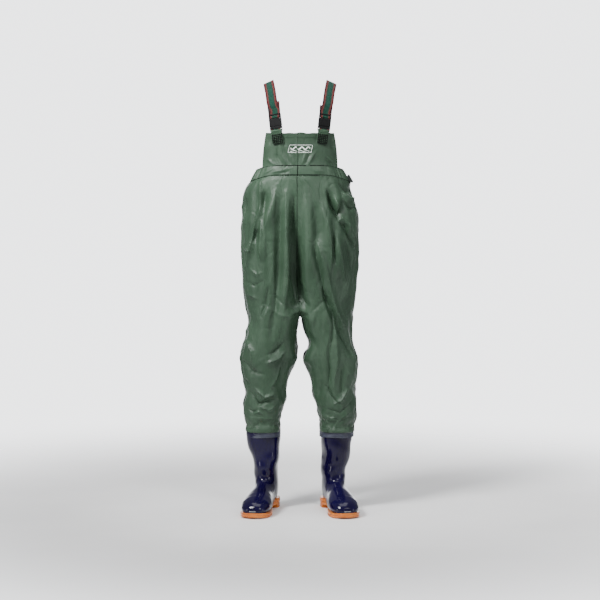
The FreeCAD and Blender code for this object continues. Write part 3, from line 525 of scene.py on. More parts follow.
# Edge of the outsole's section from the ground up: how far out from the half width, and the height,
# in metres below 0.02 and else as a share of the sole's thickness.
SOLE_PROFILE = [(-0.0035, 0.0), (-0.0008, 0.0012), (0.0, 0.0035), (0.0, 0.45), (-0.0014, 0.50),
                (-0.0014, 0.58), (0.0008, 0.64), (0.0012, 0.90), (0.0002, 0.985), (-0.003, 1.0)]
HEEL_TOP, BALL_TOP, TOE_TOP = 0.036, 0.016, 0.023
ARCH_HIGH, GROOVE_DEEP, GROOVE_WIDE, GROOVE_PITCH = 0.013, 0.005, 0.004, 0.013
ANKLE_X, ANKLE_FORWARD, TOES_OUT = 0.123, 0.010, math.radians(12)
BOOT_ROWS, BOOT_AROUND, BOOT_POWER = 72, 40, 2 / 2.2


def boot_matrix(side):
    """The boot's own frame: ankle over its origin, toes turned out."""
    place = Matrix.Translation((side * ANKLE_X, MID_Y - ANKLE_FORWARD, 0))
    return place @ Matrix.Rotation(side * TOES_OUT, 4, "Z") @ Matrix.Diagonal((side, 1, 1, 1))


def sole_top(y):
    return np.interp(-y, [-0.120, -0.018, 0.064, 0.160, 0.240],
                     [HEEL_TOP, HEEL_TOP, BALL_TOP, BALL_TOP, TOE_TOP])


def sole_bottom(y):
    """Underside of the outsole: heel block, arch and the spring of the toe."""
    return float(np.interp(-y, [-0.0222, -0.0180, 0.0140, 0.0420, 0.172, 0.240],
                           [0.0, ARCH_HIGH, ARCH_HIGH, 0.0, 0.0, 0.009]))


def boot_grid():
    """Rows of points round the boot's upper, from the top of the shaft to the toe."""
    keys = [(i, *near, *far, half, shift) for i, (near, far, half, shift) in enumerate(BOOT_SECTIONS)]
    angles = np.linspace(0, 2 * math.pi, BOOT_AROUND, endpoint=False)
    along, across = squared(np.cos(angles), BOOT_POWER), squared(np.sin(angles), BOOT_POWER)
    grid = []
    for section in curve_through(keys, np.linspace(0, len(keys) - 1, BOOT_ROWS)):
        near, far, (half, shift) = section[:2], section[2:4], section[4:]
        middle, reach = (near + far) / 2, (near - far) / 2
        grid.append(np.stack([shift + half * across, middle[0] + reach[0] * along,
                              middle[1] + reach[1] * along], axis=-1))
    return np.array(grid)


def rib(distance, width, height):
    """Rounded raised line, by distance from its middle."""
    return height * np.exp(-(distance / width) ** 2)


def boot_upper(side_name, side):
    grid = boot_grid()
    out = unit(grid - grid.mean(axis=1, keepdims=True))
    x, y, z = grid[..., 0], grid[..., 1], grid[..., 2]
    top = sole_top(y)
    # ribs: foxing line, toe cap, two lines over the vamp, heel counter; then the tuck under the leg
    lift = rib(z - top - 0.012, 0.0035, 0.0016) * smoothstep(0.06, 0.02, z)
    lift += rib(y + 0.158 + 3.5 * x**2, 0.0028, 0.0014) * (z > top + 0.010)
    lift += rib(np.abs(x + 0.001) - 0.012 - 0.10 * (y + 0.06), 0.0022, 0.0012) * (
        smoothstep(-0.150, -0.135, y) * smoothstep(-0.045, -0.060, y) * (z > top + 0.02))
    lift += rib(y - 0.062, 0.0030, 0.0012) * (z < 0.12) * (z > top + 0.012)
    lift -= 0.0040 * smoothstep(0.280, 0.292, z)
    # dents: round the ankle, up the shaft, and fine ones in the ankle's bend
    lift += 0.0024 * np.sin(z * 58 + x * 34 + side) * smoothstep(0.09, 0.13, z) * smoothstep(0.27, 0.2, z)
    lift += 0.0030 * np.sin(z * 24 + x * 46 - y * 30 + 2 * side) * smoothstep(0.11, 0.17, z)
    lift += 0.0014 * np.sin(z * 95 - x * 60) * smoothstep(0.10, 0.13, z) * smoothstep(0.20, 0.16, z)
    grid = grid + out * lift[..., None]
    grid[..., 2] = np.maximum(grid[..., 2], sole_top(grid[..., 1]) - 0.003)
    faces = loft_faces(BOOT_ROWS, BOOT_AROUND, down_first=True)
    faces.append(tuple((BOOT_ROWS - 1) * BOOT_AROUND + c for c in range(BOOT_AROUND))[::-1])
    obj = mesh_object(f"{side_name}_boot_upper_skin", grid.reshape(-1, 3), faces)
    obj.data.transform(boot_matrix(side))
    if side < 0:
        obj.data.flip_normals()
    fix_normals(obj)
    modifier(obj, "SOLIDIFY", thickness=0.003, offset=-1.0)
    modifier(obj, "SUBSURF", levels=1, render_levels=1)
    apply_modifiers(obj)
    obj.data.shade_smooth()
    finish_piece(obj, "boot_pvc", f"{side_name}_boot_upper")


def sole_ring(y, grooved):
    """Section of the outsole at y: along the ground, up the outer side, over and down the inner."""
    outer, inner = np.maximum(curve_through(SOLE_KEYS, y)[0], 0.0015)
    low, high = sole_bottom(y), float(sole_top(y))
    walls = []
    for reach, sign in ((outer, 1), (inner, -1)):
        wall = []
        for out, up in SOLE_PROFILE:
            if up < 0.02:
                height = min(low + up + GROOVE_DEEP * grooved, high - 0.004)
            else:
                height = low + up * (high - low)
                if grooved:
                    height = max(height, low + GROOVE_DEEP + 0.0005)
            wall.append((sign * max(reach + out, 0.0008), height))
        walls.append(wall)
    right, left = walls
    bottom = [(x, right[0][1]) for x in np.linspace(left[0][0], right[0][0], 9)[1:-1]]
    top = [(x, right[-1][1]) for x in np.linspace(right[-1][0], left[-1][0], 7)[1:-1]]
    return [(x, y, z) for x, z in bottom + right + top + left[::-1]]


def outsole(side_name, side):
    """Loft of cross-sections from heel to toe, with grooves cut across the underside."""
    stations = [*np.linspace(0.0868, 0.0700, 9), *np.linspace(0.066, -0.180, 44),
                *(-0.18 - 0.037 * np.sin(np.linspace(0.05, 1, 12) * math.pi / 2)),
                0.0222, 0.0218, 0.0180, 0.0176]
    grooves = [-0.058 - GROOVE_PITCH * i for i in range(9)] + [0.072 - GROOVE_PITCH * i for i in range(4)]
    for start in grooves:
        stations += [start, start - 0.0003, start - GROOVE_WIDE + 0.0003, start - GROOVE_WIDE]
    stations = sorted({round(v, 5) for v in stations if -0.2172 < v < 0.087}, reverse=True)
    grid = [sole_ring(y, any(s - GROOVE_WIDE < y < s for s in grooves)) for y in stations]
    count = len(grid[0])
    faces = loft_faces(len(grid), count, down_first=True)
    faces.append(tuple(range(count)))
    faces.append(tuple((len(grid) - 1) * count + c for c in range(count))[::-1])
    obj = mesh_object(f"{side_name}_outsole_body", [p for ring in grid for p in ring], faces)
    obj.data.transform(boot_matrix(side))
    fix_normals(obj)
    shade_by_angle(obj, 40)
    finish_piece(obj, "outsole_rubber", f"{side_name}_boot_outsole")


# ------------------------------------------------------------------ webbing

def ribbon(name, path, across, width, thick, soften=0.0006):
    """Webbing swept along path: across gives the direction over its width at each point."""
    path, across = np.array(path, float), np.array(across, float)
    tangent = unit(np.gradient(path, axis=0))
    across = unit(across - tangent * np.sum(across * tangent, axis=1, keepdims=True))
    normal = np.cross(tangent, across)
    half_w, half_t = width / 2, thick / 2
    columns = np.linspace(-1, 1, 9) * (half_w - soften)
    section = [(c, -half_t) for c in columns]
    section += [(half_w, -half_t + soften), (half_w, half_t - soften)]
    section += [(c, half_t) for c in columns[::-1]]
    section += [(-half_w, half_t - soften), (-half_w, -half_t + soften)]
    length = run_length(path)
    verts, weave = [], []
    for i, point in enumerate(path):
        for a, b in section:
            verts.append(point + across[i] * a + normal[i] * b)
            weave.append((a, length[i], b))
    count = len(section)
    faces = loft_faces(len(path), count)
    faces.append(tuple(range(count))[::-1])
    faces.append(tuple((len(path) - 1) * count + c for c in range(count)))
    obj = mesh_object(name, verts, faces)
    layer = obj.data.attributes.new("weave", "FLOAT_VECTOR", "POINT")
    layer.data.foreach_set("vector", np.array(weave, float).ravel())
    fix_normals(obj)
    shade_by_angle(obj, 50)
    return obj


def smooth_path(points, step=0.004):
    """Evenly spaced points on a curve through the given ones."""
    points = np.array(points, float)
    at = run_length(points)
    return curve_through([(a, *p) for a, p in zip(at, points)],
                         np.linspace(0, at[-1], max(3, int(at[-1] / step) + 1)))


class Buckle:
    """The CAD frame of a buckle, read from its joints: pull direction, faces and plug bar."""

    ROOT_X, ROOT_Z = 0.014, 0.0172       # an arm's root, from the frame's origin

    def __init__(self, name, minus_arm, scale):
        joints = {j["name"]: j for j in frame["record"]["behaviour"]["joints"]}
        self.scale = scale
        self.z = Vector(joints[f"{name}_release"]["axis"]).normalized()
        self.y = Vector(joints[f"{name}_press_{minus_arm}"]["axis"]).normalized()
        self.x = self.y.cross(self.z)
        root = Vector(joints[f"{name}_press_{minus_arm}"]["pos_m"])
        self.origin = root + self.x * (self.ROOT_X * scale) - self.z * (self.ROOT_Z * scale)

    def at(self, x, y, z):
        """A point given in millimetres of the buckle's own full-size frame."""
        return self.origin + (self.x * x + self.y * y + self.z * z) * 0.001

    def webbing(self, name, places, step, width, thick):
        """Webbing as wide as the buckle, along a curve through (y, z) places in its middle plane."""
        path = smooth_path([tuple(self.at(0, y, z)) for y, z in places], step)
        return ribbon(name, path, [tuple(self.x)] * len(path), width, thick, 0.0004)


SHOULDER = {"left": Buckle("left_buckle", "inner", 1.0), "right": Buckle("right_buckle", "outer", 1.0)}
WAIST = Buckle("waist_buckle", "upper", 0.7)


# Suspender line from the buckle over the shoulder to the yoke, left side: x, y from the garment's
# middle, z, and how far the outer edge tips down, in degrees.
STRAP_LINE = [
    (0.0960, -0.0880, 1.432, 4), (0.1025, -0.0640, 1.474, 10), (0.1080, -0.0320, 1.502, 18),
    (0.1110, 0.0040, 1.513, 24), (0.1095, 0.0380, 1.503, 18), (0.1040, 0.0710, 1.474, 10),
    (0.0970, 0.0950, 1.427, 4), (0.0870, 0.1075, 1.350, 0), (0.0770, 0.1110, 1.275, 0),
    (0.0710, 0.1122, 1.232, 0),
]
STRAP_WIDE, STRAP_THICK = 0.038, 0.0016


def strap(side_name, side):
    """One suspender: tail, turn round the ladder's middle bar, up and over the shoulder."""
    buckle = SHOULDER[side_name]
    near, far = 3.6, 5.6
    main, tail = (near, far) if side_name == "left" else (far, near)
    long = {"left": 30, "right": 44}[side_name]
    lean = {"left": -3.0, "right": 2.2}[side_name]
    turn = [(lean, tail + 0.3, 58 + long), (lean * 0.8, tail + 0.1, 58 + long * 0.6), (lean * 0.4, tail, 60),
            (0, tail - 0.4, 54.5), (0, 1.0, 51.9), (0, -2.6, 51.6), (0, -3.7, 50.2), (0, -3.7, 46.6),
            (0, -2.6, 44.6), (0, 0.6, 44.0), (0, main - 0.6, 44.8), (0, main, 49), (0, main, 56),
            (0, main + 0.2, 64)]
    points = [buckle.at(*p) for p in turn]
    across = [buckle.x for _ in turn]
    for i, (x, y, z, tip) in enumerate(STRAP_LINE):
        share = i / (len(STRAP_LINE) - 1)
        yaw = math.radians(15 * (1 - min(1, share / 0.33)) - 12 * max(0, (share - 0.33) / 0.67))
        tip = math.radians(tip)
        points.append(Vector((side * x, MID_Y + y, z)))
        across.append(Vector((math.cos(yaw) * math.cos(tip), side * math.sin(yaw) * math.cos(tip),
                              -side * math.sin(tip))))
    points, across = np.array([tuple(p) for p in points]), np.array([tuple(a) for a in across])
    gaps = run_length(points)
    turned = gaps[len(turn) - 1]
    at = np.concatenate([np.arange(0, turned, 0.0012), np.arange(turned, gaps[-1], 0.005), [gaps[-1]]])
    line = curve_through([(g, *p) for g, p in zip(gaps, points)], at)
    over = curve_through([(g, *a) for g, a in zip(gaps, across)], at)
    obj = ribbon(f"{side_name}_strap", line, over, STRAP_WIDE, STRAP_THICK)
    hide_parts(f"{side_name}_strap_front", f"{side_name}_strap_back")
    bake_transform(obj)
    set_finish(obj, "elastic_webbing")


def strap_tab(side_name):
    """Fabric tab folded round the plug's bar and sewn to the bib."""
    places = [(3.4, -44), (3.35, -30), (3.3, -12), (3.2, -3), (2.4, 1.9), (0.2, 3.0), (-2.3, 1.9),
              (-3.0, -0.8), (-2.0, -4.0), (0.2, -8.5), (1.5, -16), (1.9, -30), (2.0, -45)]
    obj = SHOULDER[side_name].webbing(f"{side_name}_tab", places, 0.0016, 0.0385, 0.0011)
    finish_piece(obj, "tab_fabric", f"{side_name}_strap_tab")


def thread_bar(bm, place, x, z, size_x, size_z):
    """Satin-stitched bar: four strands of thread side by side along its longer way."""
    upright = size_z > size_x
    for strand in range(4):
        off = (strand - 1.5) / 4
        off_x, off_z = (off * size_x, 0) if upright else (0, off * size_z)
        half_x, half_z = (0.15 * size_x, size_z / 2) if upright else (size_x / 2, 0.15 * size_z)
        for v in bmesh.ops.create_uvsphere(bm, u_segments=6, v_segments=4, radius=1.0)["verts"]:
            a, b, c = v.co
            v.co = place(x + off_x + a * half_x, b * 0.45 - 0.2, z + off_z + c * half_z)


def stitching(name, node, place, bars):
    """Thread bars (x, z, width, height) in millimetres; place turns (x, out, z) into a point."""
    bm = bmesh.new()
    for shade_bar in bars:
        thread_bar(bm, place, *shade_bar)
    obj = bmesh_object(name, bm)
    obj.data.shade_smooth()
    finish_piece(obj, "thread", node)


def grid_bars(columns, rows, pitch_x, pitch_z, size_x, size_z):
    """Bars at the points of a centred grid."""
    return [((column - (columns - 1) / 2) * pitch_x, (row - (rows - 1) / 2) * pitch_z, size_x, size_z)
            for column in range(columns) for row in range(rows)]


# ------------------------------------------------------------------ the body's upper form

TORSO_KEYS = [(1.345, 0.150, 0.108), (1.290, 0.148, 0.109), (1.224, 0.147, 0.111), (1.186, 0.163, 0.116),
              (1.150, 0.184, 0.122)]
TORSO_POWER = 2.5
CASING_TOP, BIB_TOP, YOKE_TOP = 1.224, 1.335, 1.262
BIB_HALF_TOP, BIB_HALF_LOW, YOKE_HALF_TOP = 0.119, 0.132, 0.096


def torso_size(z):
    """The upper body's half width and half depth at each height in z."""
    z = np.atleast_1d(np.asarray(z, float))
    sizes = curve_through(TORSO_KEYS, z.ravel())
    return sizes[:, 0].reshape(z.shape), sizes[:, 1].reshape(z.shape)


def torso_y(x, z, face):
    """Where the body's front (face -1) or back (face 1) is at x, z."""
    reach, depth = torso_size(z)
    ratio = np.clip(np.abs(x) / reach, 0, 0.998)
    return MID_Y + face * depth * (1 - ratio**TORSO_POWER) ** (1 / TORSO_POWER)


def stroke_field(x, z, strokes):
    """Summed height of the listed folds, each (half width, height, sharpness, x, z, x, z, ...)."""
    total = np.zeros_like(x)
    for width, height, sharp, *places in strokes:
        points = np.array(places, float).reshape(-1, 2) / 1000
        best = np.full(x.shape, 9.0)
        where = np.zeros_like(x)
        at = run_length(points)
        for k in range(len(points) - 1):
            a, d = points[k], points[k + 1] - points[k]
            t = np.clip(((x - a[0]) * d[0] + (z - a[1]) * d[1]) / (d @ d), 0, 1)
            gap = np.hypot(x - a[0] - t * d[0], z - a[1] - t * d[1])
            nearer = gap < best
            best = np.where(nearer, gap, best)
            where = np.where(nearer, (at[k] + t * (at[k + 1] - at[k])) / at[-1], where)
        taper = np.clip(np.sin(np.pi * np.clip(where * 0.94 + 0.03, 0, 1)), 0, 1) ** 0.7
        total += height / 1000 * taper * np.exp(-(best / (width / 1000 * (0.55 + 0.45 * taper))) ** sharp)
    return total


# ------------------------------------------------------------------ bib, yoke and casing

# Folds, here and below, in millimetres: half width, height (below 0 for a crease), sharpness and
# the points (x, z) along it.
BIB_FOLDS = [
    (2.8, 2.2, 1.4, -10, 1226, -10, 1270, -10, 1335), (5, 3.4, 1.8, -20, 1224, -36, 1262),
    (5.5, 3.6, 1.8, -46, 1222, -64, 1262), (4.5, -3.4, 1.8, -33, 1223, -50, 1262, -60, 1292),
    (5, -3, 1.8, -65, 1222, -77, 1250, -78, 1285), (5.5, 3.4, 1.8, -88, 1222, -118, 1245),
    (7, 2.6, 1.8, -105, 1300, -122, 1262), (5, 3, 1.8, 8, 1226, 20, 1262),
    (6, 3.2, 1.8, 30, 1224, 52, 1268), (4.5, -2.6, 1.8, 18, 1224, 38, 1272),
    (4.5, 4.2, 1.6, 128, 1222, 94, 1254), (4.5, -3.6, 1.8, 124, 1214, 88, 1244),
    (7, -3.4, 1.8, 108, 1318, 116, 1270), (8, -2.6, 1.9, -60, 1330, -50, 1285),
    (8, -2.4, 1.9, 60, 1330, 52, 1290),
]


def top_wave(x):
    """The bib's top edge sags between the tabs and crinkles a little."""
    return 0.0016 * np.cos(x * 74) - 0.0014 * np.exp(-(x / 0.03) ** 2) + 0.0010 * np.sin(x * 151 + 1)


def bib_point(u, v):
    middle = 0.003 * (4 * v * (1 - v))
    half = BIB_HALF_LOW + (BIB_HALF_TOP - BIB_HALF_LOW) * v + middle
    x = u * half
    low = CASING_TOP - seam_drop(x) - 0.004
    z = low + (BIB_TOP + top_wave(x) - low) * v
    y = torso_y(x, z, -1)
    hem = 0.0008 * smoothstep(BIB_TOP - 0.019, BIB_TOP - 0.017, z)
    slack = 0.0016 * np.sin(x * 52 + 1.0) * smoothstep(1.0, 0.55, v) + 0.0012 * np.sin(x * 97 + z * 40)
    fold = stroke_field(x, z, BIB_FOLDS)
    edge = 0.0012 * smoothstep(0.955, 0.97, np.abs(u))
    return np.stack([x, y - hem - edge - 0.6 * slack - fold - 0.0006, z], axis=-1)


def yoke_point(u, v):
    half = BIB_HALF_LOW + (YOKE_HALF_TOP - BIB_HALF_LOW) * v
    x = u * half
    low = CASING_TOP - seam_drop(x) - 0.004
    z = low + (YOKE_TOP - 0.002 * np.cos(x * 40) - low) * v
    slack = 0.0014 * np.sin(x * 61 + 0.4) + 0.0010 * np.sin(x * 118 - z * 50)
    hem = 0.0008 * smoothstep(YOKE_TOP - 0.017, YOKE_TOP - 0.015, z)
    return np.stack([x, torso_y(x, z, 1) + slack * (1 - 0.6 * v) + hem + 0.0004, z], axis=-1)


def flap(name, point, face, nodes, *spans):
    """A panel and the facing behind its top hem. Each span: low end, side reach, rows, columns."""
    made = []
    for low, reach, rows, columns in spans:
        v, u = np.meshgrid(np.linspace(low, 1, rows), np.linspace(-reach, reach, columns), indexing="ij")
        made.append(point(u, v))
    obj = grid_mesh(name, made[0])
    point_out(obj, (0, face, 0))
    thicken(obj, CLOTH_THICK, rim=0.0005)
    finish_piece(obj, "coated_fabric", nodes[0])
    facing = grid_mesh(f"{name}_facing", made[1] - (0, face * 0.0024, 0.0006))
    point_out(facing, (0, -face, 0))
    thicken(facing, FACING_THICK)
    finish_piece(facing, "facing_fabric", nodes[1])
    return obj


CASING_FOLDS = [
    (4, 3, 1.7, -100, 1197, -62, 1204, -30, 1212), (4.5, 2.4, 1.8, -128, 1196, -90, 1212),
    (4, -2.2, 1.8, -75, 1194, -40, 1199), (6, 1.6, 1.8, 40, 1206, 90, 1200),
    (5, 2.6, 1.8, 96, 1214, 128, 1196),
]


def casing_points(face, columns, rows=15):
    """Front or back of the belt casing: a crowned band that turns in along both seams."""
    t, v = np.meshgrid(np.linspace(0, math.pi, columns), np.linspace(0, 1, rows), indexing="xy")
    power = 2 / TORSO_POWER
    share = np.sign(np.cos(t)) * np.abs(np.cos(t)) ** power
    low_x = share * torso_size(CASING_SEAM_Z)[0]
    top_x = share * torso_size(CASING_TOP)[0]
    low = CASING_SEAM_Z - seam_drop(low_x)
    z = low + (CASING_TOP - seam_drop(top_x) - low) * v
    x = low_x + (top_x - low_x) * v
    reach, depth = torso_size(z)
    crown = 0.0024 * np.sin(np.pi * np.clip(v, 0, 1)) ** 0.45 - 0.0006
    side = smoothstep(0.10, 0.16, np.abs(x))
    gather = 0.0022 * side * np.sin(t * 46 + 2 * np.sin(t * 9)) * np.sin(np.pi * v) ** 0.5
    ease = 0.0008 * np.sin(t * 17 + face) * np.sin(np.pi * v)
    out = crown + gather + ease
    if face < 0:
        out = out + stroke_field(x, z + seam_drop(x), CASING_FOLDS)
    px = share * (reach + out)
    py = MID_Y + face * np.sin(t) ** power * (depth + out)
    return np.stack([px, py, z], axis=-1)


CASING_NODE = {-1: "waist_casing_front", 1: "waist_casing_back"}
SEAM_SHARES = {"low": 1 / 14, "top": 13 / 14}     # where the casing's two lines of stitching are


def near_buckle(line, reach):
    """Points in the window that the casing leaves open at the wearer's left for the waist buckle."""
    return (line[:, 0] > 0.10) & (np.abs(line[:, 1] - MID_Y) < reach)


def casing_sheet(name, face):
    """Half of the casing's outer cloth, and its lining a little further in."""
    points = casing_points(face, 260)
    outside = points[:, ~near_buckle(points[7], 0.026)]
    inside = outside.copy()
    middle = inside[..., 1] - MID_Y
    shrink = 1 - 0.0042 / np.maximum(np.hypot(inside[..., 0], middle), 0.05)
    inside[..., 0] *= shrink
    inside[..., 1] = MID_Y + middle * shrink
    for part, sheet, thick, rim, slot_name in (("", outside, 0.0012, 0.0004, "coated_fabric"),
                                               ("_lining", inside, 0.0010, 0.0, "facing_fabric")):
        obj = grid_mesh(name + part, sheet)
        point_out(obj, (0, face, 0))
        thicken(obj, thick, rim)
        finish_piece(obj, slot_name, CASING_NODE[face])


def up_from(line, out, lean):
    """Which way the belt's or a seam's height runs at each point: it leans out over the hips."""
    return np.tile([0, 0, 1.0], (len(line), 1)) - out * lean * smoothstep(0.10, 0.15, np.abs(line[:, :1]))


def casing_stitching(face, seam, name, width, reach):
    """Line of stitching along one seam of the casing, as far as reach from its middle."""
    points = casing_points(face, 240)
    line = points[round(SEAM_SHARES[seam] * (len(points) - 1))]
    line = line[(np.abs(line[:, 0]) < reach) & ~near_buckle(line, 0.030)]
    out = unit(line * (1, 1, 0) - (0, MID_Y, 0))
    obj = ribbon(name, line + out * 0.0009, up_from(line, out, 0.25), width, 0.0008, 0.0003)
    finish_piece(obj, "thread", CASING_NODE[face])


def casing_centre_line():
    """The front's centre seam where it runs up through the casing, as a dark thread line that is painted
    shade of the seam's fold.
    """
    points = casing_points(-1, 241)
    points = points[:, int(np.argmin(np.abs(points[7, :, 0] - SEAM_X)))] - (0, 0.0006, 0)
    across = np.tile([1.0, 0, 0], (len(points), 1))
    obj = ribbon("casing_centre_shade_line", points, across, 0.0024, 0.0008, 0.0003)
    finish_piece(obj, "thread", CASING_NODE[-1])


def make_casing():
    for side, face in FACES:
        for seam in SEAM_SHARES:
            casing_stitching(face, seam, f"casing_{side}_{seam}_stitches", 0.0010, 0.20)
    # the wider dark thread bars along the middle of both front seams are painted shade of the seams' grooves
    for seam, reach in (("low", 0.062), ("top", 0.084)):
        casing_stitching(-1, seam, f"casing_{seam}_bar", 0.0026, reach)
    casing_centre_line()
    for side, face in FACES:
        casing_sheet(f"casing_{side}", face)


# ------------------------------------------------------------------ waist belt

def belt_ring():
    """Belt inside its casing, from one side of the buckle's window right round to the other."""
    count = 400
    t = np.linspace(0, 2 * math.pi, count, endpoint=False)
    power = 2 / TORSO_POWER
    reach, depth = (float(v[0]) - 0.0022 for v in torso_size(1.205))
    x = squared(np.cos(t), power) * reach
    z = (CASING_SEAM_Z + CASING_TOP) / 2 - seam_drop(x)
    points = np.stack([x, MID_Y + squared(np.sin(t), power) * depth, z], axis=-1)
    gap = near_buckle(points, 0.040)
    first = next(i for i in range(count) if gap[i] and not gap[(i + 1) % count]) + 1
    line = points[[(first + k) % count for k in range(count - int(gap.sum()))]]
    out = unit((line - (0, MID_Y, 0)) * (1, 1, 0))
    obj = ribbon("belt_round", line, up_from(line, out, 0.30), 0.026, 0.0016)
    finish_piece(obj, "belt_webbing", "waist_belt")


def belt_ends():
    """The belt's two ends at the buckle: one round the plug's bar, one round the ladder."""
    size = (0.0010, 0.0255, 0.0014)
    front = [(2.9, 0), (2.0, 2.1), (0, 2.9), (-2.0, 2.1), (-2.9, 0), (-1.4, -3.0), (1.4, -6.0),
             (4.0, -11.0), (7.0, -18.0), (8.6, -25.0)]
    obj = WAIST.webbing("belt_front_end", front, *size)
    finish_piece(obj, "belt_webbing", "waist_belt_front_end")
    low, high, back = 42 * WAIST.scale + 1.6, 50 * WAIST.scale + 1.6, 3.2
    rear = [(back + 6.4, high + 26), (back + 5.6, high + 20), (back + 2.6, high + 12),
            (back + 0.6, high + 5), (back - 0.6, high + 0.4), (0, high), (-back + 0.6, high - 0.4),
            (-back + 0.1, high - 2.4), (-back + 0.1, low + 2.4), (-back + 0.6, low + 0.3),
            (0, low), (back - 0.8, low + 0.3), (back - 0.1, low + 3)]
    obj = WAIST.webbing("belt_rear_end", rear, *size)
    finish_piece(obj, "belt_webbing", "waist_belt_rear_end", body="waist_buckle_socket")


# ------------------------------------------------------------------ trousers

# Folds seen on the front.
FRONT_FOLDS = [
    # bulges either side of the dark centre valley
    (16, 10, 1.8, -80, 1150, -96, 1080, -118, 1000, -128, 900),
    (15, -12, 1.8, -70, 1100, -72, 1000, -76, 860, -88, 720, -100, 620),
    (12, 10, 1.8, -48, 1130, -48, 1000, -46, 860, -58, 690),
    (11, -18, 1.25, -20, 1110, -24, 1000, -22, 880, -12, 740),
    (22, 6, 1.8, 30, 1110, 36, 1000, 30, 900, 18, 790), (15, -8, 1.8, 52, 1080, 60, 990, 52, 900),
    (12, 8, 1.8, 74, 1090, 94, 1020, 108, 940, 104, 830),
    # wearer's right hip: side ridge and the long diagonal below it
    (4.5, 6, 1.25, -134, 1190, -136, 1120, -137, 1050), (10, -7, 1.25, -122, 1130, -126, 1070),
    (6, 10, 1.25, -138, 1072, -160, 990, -178, 900, -192, 850), (10, -7, 1.25, -150, 1000, -164, 950),
    (4.5, 7, 1.25, -134, 1030, -135, 960, -136, 890), (10, -6, 1.25, -190, 1110, -196, 1040),
    (6, 5, 1.25, -190, 930, -170, 920), (7, 3.5, 1.25, -176, 860, -150, 840, -132, 850),
    (7, -3.5, 1.25, -190, 812, -160, 800, -128, 822), (7, 3.5, 1.25, -186, 772, -150, 754),
    (8, -6, 1.25, -108, 800, -122, 730, -140, 690),
    # wearer's left hip: pocket-like V, the fold running out from it, the long ridge down the thigh
    (8, -19, 1.4, 96, 1134, 116, 1076, 134, 1032), (6.5, -14, 1.4, 148, 1100, 140, 1060, 134, 1034),
    (10, 9, 1.25, 122, 1112, 134, 1060), (7, -12, 1.25, 136, 1030, 160, 1004, 180, 960, 194, 930),
    (7, 8, 1.25, 146, 1040, 168, 1014, 190, 970), (6, -10, 1.25, 114, 990, 116, 930, 122, 880),
    (10, 7, 1.25, 126, 990, 140, 900, 156, 820), (9.5, 10, 1.25, 60, 960, 82, 890, 104, 800, 134, 680),
    (10, -10, 1.25, 44, 950, 62, 880, 82, 790, 108, 690), (7, -7, 1.25, 160, 960, 176, 900, 184, 840),
    (8, -3, 1.25, 30, 700, 70, 740, 100, 760), (9, 10, 1.25, 120, 730, 160, 650, 186, 560),
    # folds stacked under the waist buckle
    (5.5, -7, 1.3, 138, 1156, 162, 1130, 186, 1134), (5.5, 7, 1.3, 148, 1126, 170, 1102, 194, 1106),
    (5.5, -8, 1.3, 154, 1096, 176, 1070, 200, 1076),
    # crotch wrinkles
    (8, -2.5, 1.25, -10, 715, -60, 740, -100, 775), (8, 2.5, 1.25, -16, 690, -70, 700, -110, 725),
    # wearer's right leg: knee and calf
    (8, -9, 1.25, -60, 600, -84, 570, -110, 560), (9, 10, 1.25, -54, 570, -80, 545, -120, 530),
    (10, 10, 1.25, -190, 610, -168, 570, -160, 510), (9, -8, 1.25, -204, 540, -170, 500, -130, 490),
    (7, 6, 1.25, -70, 520, -88, 470, -104, 440),
    (6, -11, 1.25, -172, 424, -146, 384, -118, 392, -82, 402),
    (6.5, 9, 1.25, -158, 440, -124, 408, -90, 420), (5.5, 7, 1.25, -140, 376, -112, 362, -86, 376),
    (4, -6, 1.25, -186, 366, -168, 354, -152, 362), (4, 5, 1.25, -164, 346, -144, 356, -128, 344),
    (6, -6, 1.25, -196, 470, -176, 446),
    # wearer's left leg
    (12, -14, 1.6, 80, 790, 116, 706, 152, 630, 184, 560), (8, -8, 1.25, 112, 740, 116, 660, 108, 560),
    (9, 10, 1.25, 126, 640, 130, 540, 118, 440), (8, -9, 1.25, 100, 600, 104, 500, 94, 430),
    (8, -8, 1.25, 150, 520, 146, 450, 150, 410), (7.5, -10, 1.25, 84, 452, 110, 410, 140, 380),
    (7.5, 10, 1.25, 170, 440, 146, 400, 120, 384), (6, -6, 1.25, 184, 392, 140, 352, 90, 366),
    (6, 4, 1.25, 180, 356, 130, 320, 86, 344),
]
FOLD_DEPTH = 1.6
BOOT_CLEAR_Z = 0.335      # below this the leg covers the boot, so its folds only stand out

# The same for the back, which is not seen from the front.
BACK_FOLDS = [
    (16, -14, 1.8, 0, 1150, 2, 1000, -2, 860, 0, 740), (14, 9, 1.8, 60, 1130, 74, 1020, 86, 900),
    (15, 9, 1.8, -56, 1140, -66, 1010, -90, 890), (10, -9, 1.25, 104, 1140, 126, 1060, 140, 980),
    (10, -8, 1.25, -110, 1150, -122, 1080, -150, 990), (10, -10, 1.25, 10, 780, 60, 812, 120, 822),
    (10, -10, 1.25, -8, 760, -60, 790, -130, 812), (9, 9, 1.25, 14, 745, 70, 764, 130, 760),
    (9, 9, 1.25, -20, 730, -80, 745, -140, 735), (10, -10, 1.25, 50, 600, 100, 580, 170, 600),
    (9, 10, 1.25, 40, 560, 110, 545, 180, 560), (10, -10, 1.25, -50, 590, -110, 575, -180, 590),
    (9, 10, 1.25, -60, 540, -120, 530, -180, 548), (9, 9, 1.25, 70, 440, 120, 420, 180, 436),
    (9, -9, 1.25, -70, 450, -120, 430, -180, 440), (8, -9, 1.25, 80, 370, 130, 350, 180, 362),
    (8, 9, 1.25, -80, 360, -130, 345, -180, 356),
]


MOST_MOVED = 0.014


def silhouette_fix(points, form):
    """Keeps the cloth near the form it was fitted to, so that its outline stays right."""
    moved = points - form
    far = np.linalg.norm(moved, axis=1, keepdims=True)
    return form + moved * np.where(far > MOST_MOVED, MOST_MOVED / np.maximum(far, 1e-9), 1.0)


